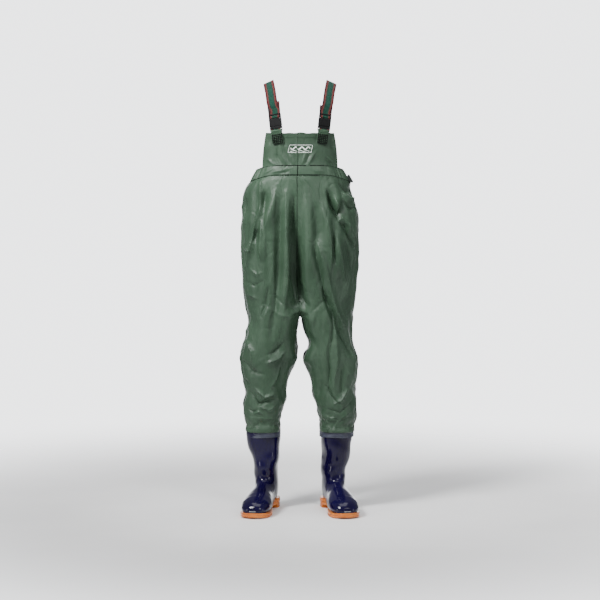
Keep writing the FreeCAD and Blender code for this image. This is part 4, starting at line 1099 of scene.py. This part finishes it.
# Where a leg's edge swells past the smooth form, or below 0 is pinched in: side, edge, height, half
# spread and amount.
LEG_BULGES = [
    (1, "outer", 1.130, 0.045, -0.012),       # under the waist buckle
    (1, "outer", 0.600, 0.050, -0.009),
    (-1, "outer", 1.125, 0.040, 0.006),
    (-1, "outer", 0.672, 0.035, -0.006),
    (-1, "outer", 0.550, 0.040, 0.007),       # knee
    (-1, "outer", 0.430, 0.024, -0.004),
    (-1, "inner", 0.590, 0.060, 0.009),
    (1, "inner", 0.600, 0.030, -0.011),       # tuck behind the knee
    (1, "inner", 0.540, 0.020, 0.005),
    (-1, "inner", 0.395, 0.035, 0.006),
]


def bulge(side, edge, z):
    """How far a leg's edge stands out from the smooth form at height z."""
    total = 0.0
    for at_side, at_edge, height, half_spread, amount in LEG_BULGES:
        if (at_side, at_edge) == (side, edge):
            total += amount * math.exp(-((z - height) / half_spread) ** 2)
    return total


def fit_outline(points, form):
    """Stretches each draped ring sideways until its edges are where the outline wants them."""
    fitted = points.copy()
    for side in (1, -1):
        for row in range(1, UPPER_ROWS + LOWER_ROWS + 1):
            ids = np.array(form.ring(side, row))
            reach = side * points[ids, 0]
            low_leg = row > UPPER_ROWS + 1
            z = float(points[ids[np.argmax(reach)], 2])
            outer, inner, _, centre, _ = curve_through(LEG_KEYS, z)[0]
            middle = centre if low_leg else 0.0
            want = outer + bulge(side, "outer", z)
            grow = (want - middle) / (reach.max() - middle)
            new = np.where(reach > middle, middle + (reach - middle) * grow, reach)
            if low_leg:
                want = inner - bulge(side, "inner", z)
                grow = (middle - want) / (middle - reach.min())
                new = np.where(reach < middle, middle - (middle - reach) * grow, new)
            fitted[ids, 0] = side * new
    return fitted


def crumpled(points, scale, seed, squeeze=1.0):
    """Sharp-ridged noise, as in stiff coated cloth that was folded: 0 on ridges, below elsewhere."""
    out = np.empty(len(points))
    for i, p in enumerate(points):
        spot = Vector((p[0] * scale + seed, p[1] * scale, p[2] * scale * squeeze))
        bent = spot + 0.5 * noise.noise_vector(spot * 0.7)
        out[i] = -abs(noise.noise(bent))
    return out


def make_trousers():
    """Drapes the trousers and adds the folds."""
    form = Trousers()
    cloth = mesh_object("trousers", form.points, form.faces)
    last = UPPER_ROWS + LOWER_ROWS
    body = mannequin()
    pins = {}
    for side in (1, -1):
        for row, weight in ((0, 1.0), (1, 0.6), (last - 1, 0.4), (last, 1.0)):
            for number in form.ring(side, row):
                pins[number] = weight
    drape(cloth, loosened(form), pins)
    bpy.data.objects.remove(body)
    points = fit_outline(silhouette_fix(vertex_data(cloth.data), np.array(form.points)), form)
    share = np.exp(-(points[:, 0] / 0.07) ** 2) * smoothstep(CROTCH_Z - 0.02, CROTCH_Z + 0.10, points[:, 2])
    points[:, 0] += SEAM_X * share
    set_coords(cloth, points)
    coarse = len(cloth.data.vertices)
    modifier(cloth, "SUBSURF", levels=2, render_levels=2)
    apply_modifiers(cloth)
    cloth.data.shade_smooth()
    cloth.data.update()
    points, normals = vertex_data(cloth.data), vertex_data(cloth.data, "normal")
    facing = -normals[:, 1]
    front, back = smoothstep(-0.15, 0.45, facing), smoothstep(-0.15, 0.45, -facing)
    x, z = points[:, 0], points[:, 2]
    ends = smoothstep(0.284, 0.306, z) * (1 - smoothstep(-0.016, 0.0, z - CASING_SEAM_Z + seam_drop(x)))
    height = stroke_field(x, z, FRONT_FOLDS) * front + stroke_field(x, z, BACK_FOLDS) * back
    low = 1 - smoothstep(0.45, 0.95, z)
    height = height * (FOLD_DEPTH - 0.45 * low)
    side = 1 - smoothstep(0.15, 0.75, np.abs(facing))
    height += crumpled(points, 11.0, 3.0, 0.5) * (0.0050 + 0.0050 * low) + 0.0016
    height += crumpled(points, 19.0, 6.0, 0.8) * 0.0100 * side + 0.0022 * side
    height += crumpled(points, 30.0, 9.0, 0.6) * (0.0012 + 0.0022 * low) + 0.0006
    height = np.where(z < BOOT_CLEAR_Z, np.maximum(height, -0.0005), height)
    points = points + normals * (height * ends)[:, None]
    set_coords(cloth, points)
    return form, cloth, coarse


def split_panels(form, cloth):
    """Each coarse face became several; each panel takes its own and gets its real thickness."""
    mesh = cloth.data
    corner = np.empty(len(mesh.polygons) * 4, int)
    mesh.polygons.foreach_get("vertices", corner)
    corner = corner.reshape(-1, 4)
    points, normals = vertex_data(mesh), vertex_data(mesh, "normal")
    per_face = len(corner) // len(form.panels)
    for side_name, side in SIDES:
        for face_name, face in FACES:
            chosen = np.array([i for i, k in enumerate(form.panels) if k == (side, face < 0)])
            quads = np.concatenate([corner[chosen * per_face + n] for n in range(per_face)])
            used, compact = np.unique(quads, return_inverse=True)
            obj = mesh_object(f"{side_name}_{face_name}_panel", points[used],
                              [tuple(q) for q in compact.reshape(-1, 4)])
            if float(np.sum(normals[used] * vertex_data(obj.data, "normal"))) < 0:
                obj.data.flip_normals()
            thicken(obj, 0.0013)
            finish_piece(obj, "coated_fabric", f"{face_name}_panel_{side_name}")


def tree_of(obj):
    graph = bpy.context.evaluated_depsgraph_get()
    return BVHTree.FromObject(obj, graph)


def surface_ribbon(name, tree, line, width, lift, thick, columns=5):
    """A strip that lies on a surface along a line of points."""
    line = np.array(line)
    tangent = np.gradient(line, axis=0)
    rows = []
    for point, along in zip(line, tangent):
        spot, normal, _, _ = tree.find_nearest(Vector(point))
        across = Vector(along).cross(normal).normalized()
        row = []
        for c in range(columns):
            offset = (c / (columns - 1) - 0.5) * width
            near, local, _, _ = tree.find_nearest(spot + across * offset)
            crown = 1 - (2 * c / (columns - 1) - 1) ** 2
            row.append(tuple(near + local * (lift + 0.0003 * crown)))
        rows.append(row)
    obj = grid_mesh(name, np.array(rows))
    normal = np.array(tree.find_nearest(Vector(rows[len(rows) // 2][columns // 2]))[1])
    middle = vertex_data(obj.data, "normal")[(len(rows) // 2) * columns + columns // 2]
    if float(normal @ middle) < 0:
        obj.data.flip_normals()
    thicken(obj, thick)
    return obj


def grid_line(form, points, side, kind, rows, column):
    """Points of the draped grid along a column, closely spaced."""
    low, high = math.floor(column), math.ceil(column)
    spots = []
    for row in rows:
        a, b = (points[form.index[(side, kind, row, c)]] for c in (low, high))
        spots.append(a + (b - a) * (column - low))
    return smooth_path(spots)


def make_seams(form, cloth, coarse):
    """Welded tape down the centre, and down both sides of each leg, and the hem at its foot."""
    tree = tree_of(cloth)
    points = vertex_data(cloth.data)[:coarse]
    last = UPPER_ROWS + LOWER_ROWS
    edge = OUT_COLUMNS - 1

    def tape(name, node, width, *where):
        obj = surface_ribbon(name, tree, grid_line(form, points, *where), width, 0.0004, 0.0006)
        finish_piece(obj, "seam_tape", f"{node}_tape")

    for name, column in (("front_centre_seam", 0), ("back_centre_seam", edge)):
        tape(name, name, 0.0042, 1, "out", range(UPPER_ROWS - 1), column)
    for side_name, side in SIDES:
        for place, kind, rows, column in (("side", "out", range(last + 1), edge / 2),
                                          ("inner", "in", range(UPPER_ROWS, last + 1), IN_COLUMNS / 2)):
            tape(f"{side_name}_{place}_seam", f"{side_name}_leg_seam", 0.0075, side, kind, rows, column)
    for side_name, side in SIDES:
        ring = points[form.ring(side, last)]
        line = smooth_path(np.concatenate([ring, ring[:1]]), 0.005)
        line[:, 2] += 0.0085
        obj = surface_ribbon(f"{side_name}_hem", tree, line, 0.0150, 0.0005, 0.0009, 7)
        finish_piece(obj, "coated_fabric", f"front_panel_{side_name}")


def make_cuff_band(side_name, side):
    """Ribbed rubber band that closes the join between leg and boot."""
    around, rows, power = 160, 21, 2 / 2.25
    angles = np.linspace(0, 2 * math.pi, around, endpoint=False)
    low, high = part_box(f"{side_name}_cuff_band")
    centre, half = (low + high) / 2, (high - low) / 2 - Vector((0.0006, 0.0006, 0))
    grid = []
    for v in np.linspace(0, 1, rows):
        grow = 0.0006 * math.cos(v * math.pi * 8) - 0.0004
        grid.append(np.stack([centre.x + (half.x + grow) * squared(np.cos(angles), power),
                              centre.y + (half.y + grow) * squared(np.sin(angles), power),
                              low.z + (high.z - low.z) * v + 0.0012 * np.sin(angles * 3 + side)], axis=-1))
    obj = grid_mesh(f"{side_name}_cuff", np.array(grid), closed=True)
    fix_normals(obj)
    thicken(obj, 0.0022)
    finish_piece(obj, "cuff_rubber", f"{side_name}_cuff_band")


# ------------------------------------------------------------------ small sewn and printed things

def tab_stitching(side_name):
    """Lattice of heavy stitching that holds the tab: upright rows crossed by level ones."""
    cells_x, cells_z, pitch_x, pitch_z = 5, 6, 6.7, 5.9

    def place(x, y, z):
        return SHOULDER[side_name].at(x, 0.85 + y, z - 27.0)

    upright = grid_bars(cells_x + 1, cells_z, pitch_x, pitch_z, 3.4, pitch_z * 1.15)
    level = grid_bars(cells_x, cells_z + 1, pitch_x, pitch_z, pitch_x * 1.15, 3.0)
    stitching(f"{side_name}_tab_thread", f"{side_name}_tab_stitching", place, upright + level)


def strap_end_stitching(side_name, side):
    """Bars of thread that sew a strap's end to the yoke."""
    low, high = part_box(f"{side_name}_strap_end_stitching")
    yaw, lean = math.radians(side * 12), math.radians(side * 8)
    over = Vector((math.cos(yaw), -math.sin(yaw), 0))
    out = Vector((math.sin(yaw), math.cos(yaw), 0))

    def place(a, b, c):
        turned_a = a * math.cos(lean) + c * math.sin(lean)
        turned_c = c * math.cos(lean) - a * math.sin(lean)
        moved = over * turned_a + out * (-b - 0.1)
        return (low + high) / 2 + moved * 0.001 + Vector((0, 0, turned_c * 0.001))

    stitching(f"{side_name}_strap_thread", f"{side_name}_strap_end_stitching", place,
              grid_bars(6, 4, 5.2, 6.0, 2.6, 4.4))


def print_strip(bm, line, width, closed=False):
    """Adds a flat strip along a line of (x, z) to the print."""
    line = [Vector((x, z)) for x, z in line]
    count = len(line)
    left, right = [], []
    for i, point in enumerate(line):
        before = line[(i - 1) % count] if closed or i else point
        after = line[(i + 1) % count] if closed or i < count - 1 else point
        along = (after - before).normalized()
        side = Vector((-along.y, along.x)) * width / 2
        left.append(bm.verts.new((*(point + side), 0)))
        right.append(bm.verts.new((*(point - side), 0)))
    for i in range(count if closed else count - 1):
        j = (i + 1) % count
        bm.faces.new((left[i], left[j], right[j], right[i]))


PRINT_SLANT, PRINT_X, PRINT_Z = 0.22, 0.001, 1.2790


def make_print(bib):
    """A generic mark in place of the maker's: a slanted frame round two rows of rolling waves."""
    bm = bmesh.new()
    half_x, half_z = 0.0400, 0.0130
    corners = [(-half_x, -half_z), (half_x, -half_z), (half_x, half_z), (-half_x, half_z)]
    outline = []
    for a, b in zip(corners, corners[1:] + corners[:1]):
        for t in np.linspace(0.04, 0.96, 18):
            x, z = a[0] + (b[0] - a[0]) * t, a[1] + (b[1] - a[1]) * t
            outline.append((x + PRINT_SLANT * z, z))
    print_strip(bm, outline, 0.0014, closed=True)
    for z, long, high, wide, phase in ((0.0018, 0.034, 0.0042, 0.0036, 0.0),
                                       (-0.0078, 0.033, 0.0012, 0.0016, 0.8)):
        print_strip(bm, [(t * long + PRINT_SLANT * z, z + high * math.sin(t * 9.6 + phase))
                         for t in np.linspace(-1, 1, 60)], wide)
    bmesh.ops.subdivide_edges(bm, edges=bm.edges, cuts=1)
    obj = bmesh_object("chest_print", bm)
    tree = tree_of(bib)
    lifted = []
    for x, z, _ in vertex_data(obj.data):
        hit, normal = front_of(tree, x + PRINT_X, z + PRINT_Z)
        lifted.append(tuple(hit + normal * 0.00035))
    set_coords(obj, np.array(lifted))
    point_out(obj, (0, -1, 0))
    thicken(obj, 0.0002)
    finish_piece(obj, "thread")


def front_of(tree, x, z):
    """Where a line from the front meets a surface at x, z, and the surface's normal there."""
    return tree.ray_cast(Vector((x, -1.0, z)), Vector((0, 1, 0)))[:2]


def bib_seam(bib):
    """Centre seam of the bib."""
    tree = tree_of(bib)
    line = [tuple(front_of(tree, SEAM_X, z)[0]) for z in np.linspace(1.228, 1.333, 40)]
    obj = surface_ribbon("bib_centre_seam", tree, line, 0.0050, 0.0003, 0.0007)
    finish_piece(obj, "coated_fabric", "bib_panel")


# ------------------------------------------------------------------ materials

def srgb(r, g, b):
    """Colour from 0 to 255 display values, as the shader wants it."""
    out = []
    for value in (r, g, b):
        value /= 255
        out.append(value / 12.92 if value <= 0.04045 else ((value + 0.055) / 1.055) ** 2.4)
    return (*out, 1.0)


class Shader:
    """Small helper to build a node material; settings are numbers on its main shader."""

    def __init__(self, name, **settings):
        self.material = bpy.data.materials.new(name)
        self.material.use_nodes = True
        self.tree = self.material.node_tree
        self.bsdf = next(n for n in self.tree.nodes if n.type == "BSDF_PRINCIPLED")
        self.place = self.node("ShaderNodeTexCoord").outputs["Object"]
        for key, value in settings.items():
            self.bsdf.inputs[key.replace("_", " ")].default_value = value


    def node(self, kind, **settings):
        made = self.tree.nodes.new(kind)
        for key, value in settings.items():
            if hasattr(made, key) and key not in made.inputs:
                setattr(made, key, value)
            else:
                made.inputs[key].default_value = value
        return made

    def link(self, output, socket):
        self.tree.links.new(output, socket)
        return output

    def split(self, vector):
        node = self.node("ShaderNodeSeparateXYZ")
        self.link(vector, node.inputs[0])
        return node.outputs

    def scaled(self, x, y, z):
        node = self.node("ShaderNodeMapping")
        node.inputs["Scale"].default_value = (x, y, z)
        self.link(self.place, node.inputs["Vector"])
        return node.outputs["Vector"]

    def noise(self, scale, detail=3.0, roughness=0.5, source=None, distortion=0.0):
        node = self.node("ShaderNodeTexNoise", Scale=scale, Detail=detail, Roughness=roughness,
                         Distortion=distortion)
        self.link(source or self.place, node.inputs["Vector"])
        return node.outputs["Fac"]

    def ramp(self, value, low, high, a=0.0, b=1.0, smooth=True):
        node = self.node("ShaderNodeMapRange")
        node.interpolation_type = "SMOOTHSTEP" if smooth else "LINEAR"
        for key, number in (("From Min", low), ("From Max", high), ("To Min", a), ("To Max", b)):
            node.inputs[key].default_value = number
        self.link(value, node.inputs["Value"])
        return node.outputs["Result"]

    def math(self, operation, a, b=None):
        return self.fill(self.node("ShaderNodeMath", operation=operation), {0: a, 1: b}).outputs[0]

    def mix(self, factor, a, b):
        node = self.node("ShaderNodeMix", data_type="RGBA")
        return self.fill(node, {0: factor, 6: a, 7: b}).outputs[2]

    def fill(self, node, values):
        """Sets or links a node's inputs, by number, leaving out those that are None."""
        for key, value in values.items():
            if isinstance(value, (int, float, tuple)):
                node.inputs[key].default_value = value
            elif value is not None:
                self.link(value, node.inputs[key])
        return node

    def tones(self, value, a, b, low=0.3, high=0.7):
        """From colour a to colour b as value goes from low to high."""
        return self.mix(self.ramp(value, low, high), srgb(*a), srgb(*b))

    def flecks(self, colour, value, low, high, most, other):
        """Up to most of another colour, as value goes from low to high."""
        return self.mix(self.ramp(value, low, high, 0.0, most), colour, srgb(*other))

    def between(self, value, a, b):
        return self.ramp(value, 0.3, 0.7, a, b)

    def wave(self, value, length):
        return self.math("SINE", self.math("MULTIPLY", value, 2 * math.pi / length))

    def weave(self, pitch):
        """Fine square weave: waves over three directions, so that it works on any face."""
        x, y, z = (self.wave(axis, pitch) for axis in self.split(self.place))
        return self.math("ADD", self.math("ADD", x, y), z)

    def run(self):
        """How far across and along a piece of webbing each point is, in metres."""
        return self.split(self.node("ShaderNodeAttribute", attribute_name="weave").outputs["Vector"])


    def bump(self, height, distance, strength=1.0, under=None):
        node = self.node("ShaderNodeBump", Strength=strength, Distance=distance)
        self.link(height, node.inputs["Height"])
        if under is not None:
            self.link(under, node.inputs["Normal"])
        return node.outputs["Normal"]

    def end(self, colour=None, roughness=None, normal=None):
        for value, key in ((colour, "Base Color"), (roughness, "Roughness"), (normal, "Normal")):
            if value is not None:
                self.link(value, self.bsdf.inputs[key])
        return self.material


def coated_fabric():
    """Green PVC-coated nylon: satin, with fine weave and small creases, lighter in colour on the creases'
    raised ridges.
    """
    s = Shader("coated_fabric", Specular_IOR_Level=0.30)
    broad = s.noise(5.0, 4.0, 0.55)
    crease = s.noise(1.0, 5.0, 0.62, s.scaled(24, 24, 13), 0.35)
    fine = s.noise(1.0, 3.0, 0.5, s.scaled(90, 90, 60), 0.2)
    grain = s.noise(1400, 1.0)
    colour = s.tones(broad, (41, 60, 45), (53, 74, 57))
    # lighter colour where the crease noise is high, which is where the crease bump is raised
    colour = s.flecks(colour, crease, 0.56, 0.72, 0.22, (78, 100, 80))
    colour = s.flecks(colour, grain, 0.35, 0.65, 0.12, (24, 38, 26))
    rough = s.math("ADD", s.between(broad, 0.40, 0.48), s.ramp(fine, 0.35, 0.7, -0.03, 0.06))
    bent = s.noise(1.0, 2.0, 0.5, s.scaled(17, 17, 9), 0.6)
    folded = s.math("ABSOLUTE", s.math("SUBTRACT", bent, 0.5))
    normal = s.bump(s.ramp(folded, 0.0, 0.10), 0.0016, 0.5)
    normal = s.bump(crease, 0.0024, 0.50, normal)
    normal = s.bump(fine, 0.0008, 0.40, normal)
    return s.end(colour, rough, s.bump(s.weave(0.0017), 0.00008, 0.35, normal))


def facing_fabric():
    """Uncoated inner face of the cloth, matt, with a visible weave; its colour is darker than the outer
    cloth as painted shade of the garment's inside.
    """
    s = Shader("facing_fabric", Specular_IOR_Level=0.3, Sheen_Weight=0.2)
    threads = s.noise(900, 2.0)
    # darker than the outer cloth's colours: painted shade of the garment's inside
    colour = s.tones(s.noise(9.0, 4.0), (30, 44, 34), (40, 56, 43))
    colour = s.flecks(colour, threads, 0.35, 0.65, 0.4, (22, 33, 26))
    return s.end(colour, s.between(threads, 0.72, 0.88), s.bump(s.weave(0.0015), 0.00012, 0.6))


def seam_tape():
    """Welded tape: the cloth's green, smoother, with press marks; its darker colour is painted shade,
    standing in for the dark line of the seam's fold.
    """
    s = Shader("seam_tape", Specular_IOR_Level=0.3)
    broad = s.noise(14.0, 3.0)
    press = s.wave(s.split(s.place)[2], 0.004)
    # the darker green is painted shade of the seam's fold line
    return s.end(s.tones(broad, (30, 44, 33), (42, 60, 45)), s.between(broad, 0.30, 0.40),
                 s.bump(press, 0.0001, 0.35))


# Where each colour of the suspenders' webbing starts, as a share of its width.
BLACK, RED, TAN, GREY, GREEN = (26, 24, 26), (94, 26, 31), (94, 70, 56), (34, 32, 34), (10, 62, 48)
BANDS = [(0.00, BLACK), (0.07, RED), (0.19, TAN), (0.235, GREY), (0.30, GREEN), (0.70, GREY),
         (0.765, TAN), (0.81, RED), (0.93, BLACK)]


def webbing_material(name, elastic):
    """Woven webbing: ribs across, and on the suspenders red and tan stripes along a green field."""
    s = Shader(name, Specular_IOR_Level=0.14, Sheen_Weight=0.03, Sheen_Roughness=0.5)
    across, along, _ = s.run()
    cloth = s.math("MULTIPLY", s.wave(along, 0.0021), s.wave(across, 0.0016))
    patch = s.noise(160, 2.0)
    if elastic:
        ramp = s.node("ShaderNodeValToRGB")
        ramp.color_ramp.interpolation = "CONSTANT"
        while len(ramp.color_ramp.elements) < len(BANDS):
            ramp.color_ramp.elements.new(0.5)
        for element, (at, colour) in zip(ramp.color_ramp.elements, BANDS):
            element.position = at
            element.color = srgb(*colour)
        s.link(s.ramp(across, -STRAP_WIDE / 2, STRAP_WIDE / 2, 0.0, 1.0, False), ramp.inputs["Fac"])
        base = ramp.outputs["Color"]
    else:
        base = s.tones(patch, (24, 34, 30), (34, 46, 40))
    # darker towards the hollows of the weave: painted shade
    weave_hollow_shade = s.mix(s.ramp(cloth, -0.2, 1.0, 0.30, 0.0), base, srgb(14, 16, 16))
    colour = s.flecks(weave_hollow_shade, patch, 0.4, 0.75, 0.06, (120, 124, 118))
    return s.end(colour, s.between(patch, 0.62, 0.80), s.bump(cloth, 0.00035, 0.8))


def tab_fabric():
    """Heavy green twill of the tabs."""
    s = Shader("tab_fabric", Specular_IOR_Level=0.2, Sheen_Weight=0.05)
    across, along, _ = s.run()
    twill = s.wave(s.math("ADD", across, along), 0.0015)
    patch = s.noise(70, 3.0)
    colour = s.tones(patch, (44, 66, 48), (60, 84, 64))
    # darker in the hollows of the twill: painted shade
    colour = s.mix(s.ramp(twill, 0.0, 1.0, 0.25, 0.0), colour, srgb(24, 40, 30))
    return s.end(colour, s.between(patch, 0.50, 0.66), s.bump(twill, 0.00018, 0.6))


def thread():
    """Black bonded thread, twisted."""
    s = Shader("thread", Specular_IOR_Level=0.08)
    patch = s.noise(600, 2.0)
    twist = s.noise(1.0, 1.0, 0.5, s.scaled(900, 900, 2600))
    return s.end(s.tones(patch, (6, 8, 7), (14, 18, 15)), s.between(patch, 0.5, 0.7),
                 s.bump(twist, 0.0002, 0.7))


def print_ink():
    """Off-white screen print, thin and a little worn."""
    s = Shader("print_ink")
    patch = s.noise(240, 4.0, 0.6)
    colour = s.flecks(srgb(226, 232, 226), patch, 0.50, 0.68, 0.5, (128, 150, 134))
    return s.end(colour, s.between(patch, 0.38, 0.55), s.bump(patch, 0.0001, 0.5))


def buckle_plastic():
    """Black moulded acetal with a fine spark-eroded grain and patchy roughness."""
    s = Shader("buckle_plastic", Specular_IOR_Level=0.10)
    grain = s.noise(2600, 2.0)
    patch = s.noise(120, 3.0)
    rough = s.math("ADD", s.between(patch, 0.46, 0.58), s.between(grain, -0.02, 0.05))
    return s.end(s.tones(patch, (9, 9, 10), (17, 17, 18), 0.35), rough, s.bump(grain, 0.00006, 0.5))


def boot_pvc():
    """Navy injection-moulded PVC, very glossy, faintly uneven, with a few rubs."""
    s = Shader("boot_pvc", Specular_IOR_Level=0.25)
    flow = s.noise(1.0, 2.0, 0.4, s.scaled(11, 11, 7), 0.4)
    ripple = s.noise(1.0, 2.0, 0.5, s.scaled(34, 34, 20))
    rub = s.noise(300, 5.0, 0.7)
    colour = s.flecks(s.tones(flow, (12, 6, 37), (18, 11, 51)), rub, 0.64, 0.74, 0.25, (34, 32, 78))
    rough = s.math("ADD", s.between(flow, 0.07, 0.12), s.ramp(rub, 0.60, 0.74, 0.0, 0.12))
    return s.end(colour, rough, s.bump(ripple, 0.0012, 0.35, s.bump(flow, 0.0100, 0.42)))


def outsole_rubber():
    """Amber gum sole, slightly translucent looking, with darker specks all over."""
    s = Shader("outsole_rubber", Specular_IOR_Level=0.4)
    flow = s.noise(18.0, 3.0)
    speck = s.noise(700, 2.0)
    colour = s.tones(flow, (188, 96, 28), (206, 118, 46))
    colour = s.flecks(colour, speck, 0.60, 0.75, 0.35, (130, 62, 30))
    return s.end(colour, s.between(flow, 0.28, 0.42), s.bump(speck, 0.0002, 0.4))


def insole_felt():
    """Grey felt of the loose insoles."""
    s = Shader("insole_felt", Specular_IOR_Level=0.2, Sheen_Weight=0.4)
    fibre = s.noise(420, 6.0, 0.7)
    colour = s.tones(fibre, (92, 94, 98), (132, 134, 138), 0.35, 0.65)
    return s.end(colour, s.between(fibre, 0.85, 0.95), s.bump(fibre, 0.0006, 0.8))


def cuff_rubber():
    """Dark slate rubber band, satin."""
    s = Shader("cuff_rubber", Specular_IOR_Level=0.45)
    patch = s.noise(60, 3.0)
    return s.end(s.tones(patch, (38, 42, 56), (54, 58, 74)), s.between(patch, 0.40, 0.54),
                 s.bump(s.noise(1500, 1.0), 0.0001, 0.5))


def floor_paint():
    """Pale paper that fades into the backdrop away from the object, so that no horizon shows."""
    s = Shader("floor")
    patch = s.noise(2.0, 2.0)
    s.end(s.tones(patch, (240, 240, 240), (246, 246, 246)), s.between(patch, 0.75, 0.85))
    length = s.node("ShaderNodeVectorMath", operation="LENGTH")
    s.link(s.place, length.inputs[0])
    s.link(s.ramp(length.outputs["Value"], 0.7, 2.6, 1.0, 0.0), s.bsdf.inputs["Alpha"])
    return s.material


# ------------------------------------------------------------------ camera, light and floor

CAMERA_AWAY, CAMERA_HIGH, CAMERA_DOWN, CAMERA_VIEW = 7.094, 1.267, 4.21, 17.0    # metres, degrees
FLOOR_HALF = 4.0
# Place, target, size across and up, power and spread in degrees.
LAMPS = {
    "key": ((-1.7, -1.8, 3.0), (0, 0, 1.08), 0.9, 0.9, 22, 55),
    "fill": ((1.4, -2.6, 2.7), (0, 0, 1.15), 1.1, 1.1, 6.4, 60),
    "strip_right": ((-2.3, -1.3, 0.45), (0, 0, 0.20), 0.35, 1.0, 11, 180),
    "strip_left": ((2.3, -1.3, 0.45), (0, 0, 0.20), 0.35, 1.0, 11, 180),
    "overhead": ((0, -0.3, 4.2), (0, -0.3, 0), 2.6, 2.6, 78, 180),
}


def make_camera():
    data = bpy.data.cameras.new("camera")
    data.sensor_width = 36.0
    data.lens = 18.0 / math.tan(math.radians(CAMERA_VIEW) / 2)
    data.clip_end = 60
    camera = linked("camera", data)
    camera.location = (0.0, MID_Y - CAMERA_AWAY, CAMERA_HIGH)
    camera.rotation_euler = (math.radians(90 - CAMERA_DOWN), 0, 0)
    bpy.context.scene.camera = camera


def make_lamps():
    for name, (place, target, size, size_y, power, spread_degrees) in LAMPS.items():
        data = bpy.data.lights.new(name, "AREA")
        data.shape = "RECTANGLE"
        data.size, data.size_y = size, size_y
        data.energy = power
        data.spread = math.radians(spread_degrees)
        light = linked(name, data)
        light.location = place
        light.rotation_euler = (Vector(target) - Vector(place)).to_track_quat("-Z", "Y").to_euler()


def make_world():
    world = bpy.data.worlds.new("studio")
    bpy.context.scene.world = world
    world.use_nodes = True
    tree = world.node_tree
    back = tree.nodes["Background"]
    back.inputs["Color"].default_value = (0.97, 0.98, 1.0, 1)
    # brighter behind the object than ahead of it, so that its front is shaped by the lamps
    direction = tree.nodes.new("ShaderNodeTexCoord")
    split = tree.nodes.new("ShaderNodeSeparateXYZ")
    bright = tree.nodes.new("ShaderNodeMapRange")
    bright.interpolation_type = "SMOOTHSTEP"
    for key, value in (("From Min", 0.87), ("From Max", 0.957), ("To Min", 0.35), ("To Max", 3.3)):
        bright.inputs[key].default_value = value
    tree.links.new(direction.outputs["Generated"], split.inputs[0])
    tree.links.new(split.outputs[1], bright.inputs["Value"])
    tree.links.new(bright.outputs["Result"], back.inputs["Strength"])


def make_floor():
    h = FLOOR_HALF
    mesh = bpy.data.meshes.new("floor")
    mesh.from_pydata([(-h, -h, 0), (h, -h, 0), (h, h, 0), (-h, h, 0)], [], [(0, 1, 2, 3)])
    floor = linked("floor", mesh)
    floor.location.z = -0.0002
    mesh.materials.append(floor_paint())
    floor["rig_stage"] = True


# ------------------------------------------------------------------ the whole

def paint(materials):
    """Gives every piece and every shown CAD node the material of its slot."""
    slot_of = {entry["node"]: entry["material_slot"] for entry in frame["record"]["subparts"]}
    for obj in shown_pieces():
        name = obj.get("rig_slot") or slot_of.get(obj.get("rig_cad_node", ""))
        if obj.name == "chest_print":
            name = "print_ink"
        obj.data.materials.clear()
        obj.data.materials.append(materials[name])


def main():
    make_camera()
    make_world()
    make_lamps()
    make_floor()
    form, cloth, coarse = make_trousers()
    split_panels(form, cloth)
    make_seams(form, cloth, coarse)
    bpy.data.objects.remove(cloth)
    bib = flap("bib", bib_point, -1, ("bib_panel", "bib_hem_facing"), (0, 1, 92, 150),
               (0.80, 0.985, 12, 80))
    bib_seam(bib)
    make_print(bib)
    flap("yoke", yoke_point, 1, ("back_yoke", "back_yoke_facing"), (0, 1, 40, 140),
         (0.42, 0.96, 10, 70))
    make_casing()
    belt_ring()
    belt_ends()
    for side_name, side in SIDES:
        strap(side_name, side)
        strap_tab(side_name)
        tab_stitching(side_name)
        strap_end_stitching(side_name, side)
        make_cuff_band(side_name, side)
        boot_upper(side_name, side)
        outsole(side_name, side)
    paint({
        "coated_fabric": coated_fabric(), "facing_fabric": facing_fabric(), "seam_tape": seam_tape(),
        "elastic_webbing": webbing_material("elastic_webbing", True),
        "belt_webbing": webbing_material("belt_webbing", False), "tab_fabric": tab_fabric(),
        "thread": thread(), "print_ink": print_ink(), "buckle_plastic": buckle_plastic(),
        "boot_pvc": boot_pvc(), "outsole_rubber": outsole_rubber(), "insole_felt": insole_felt(),
        "cuff_rubber": cuff_rubber(),
    })


main()
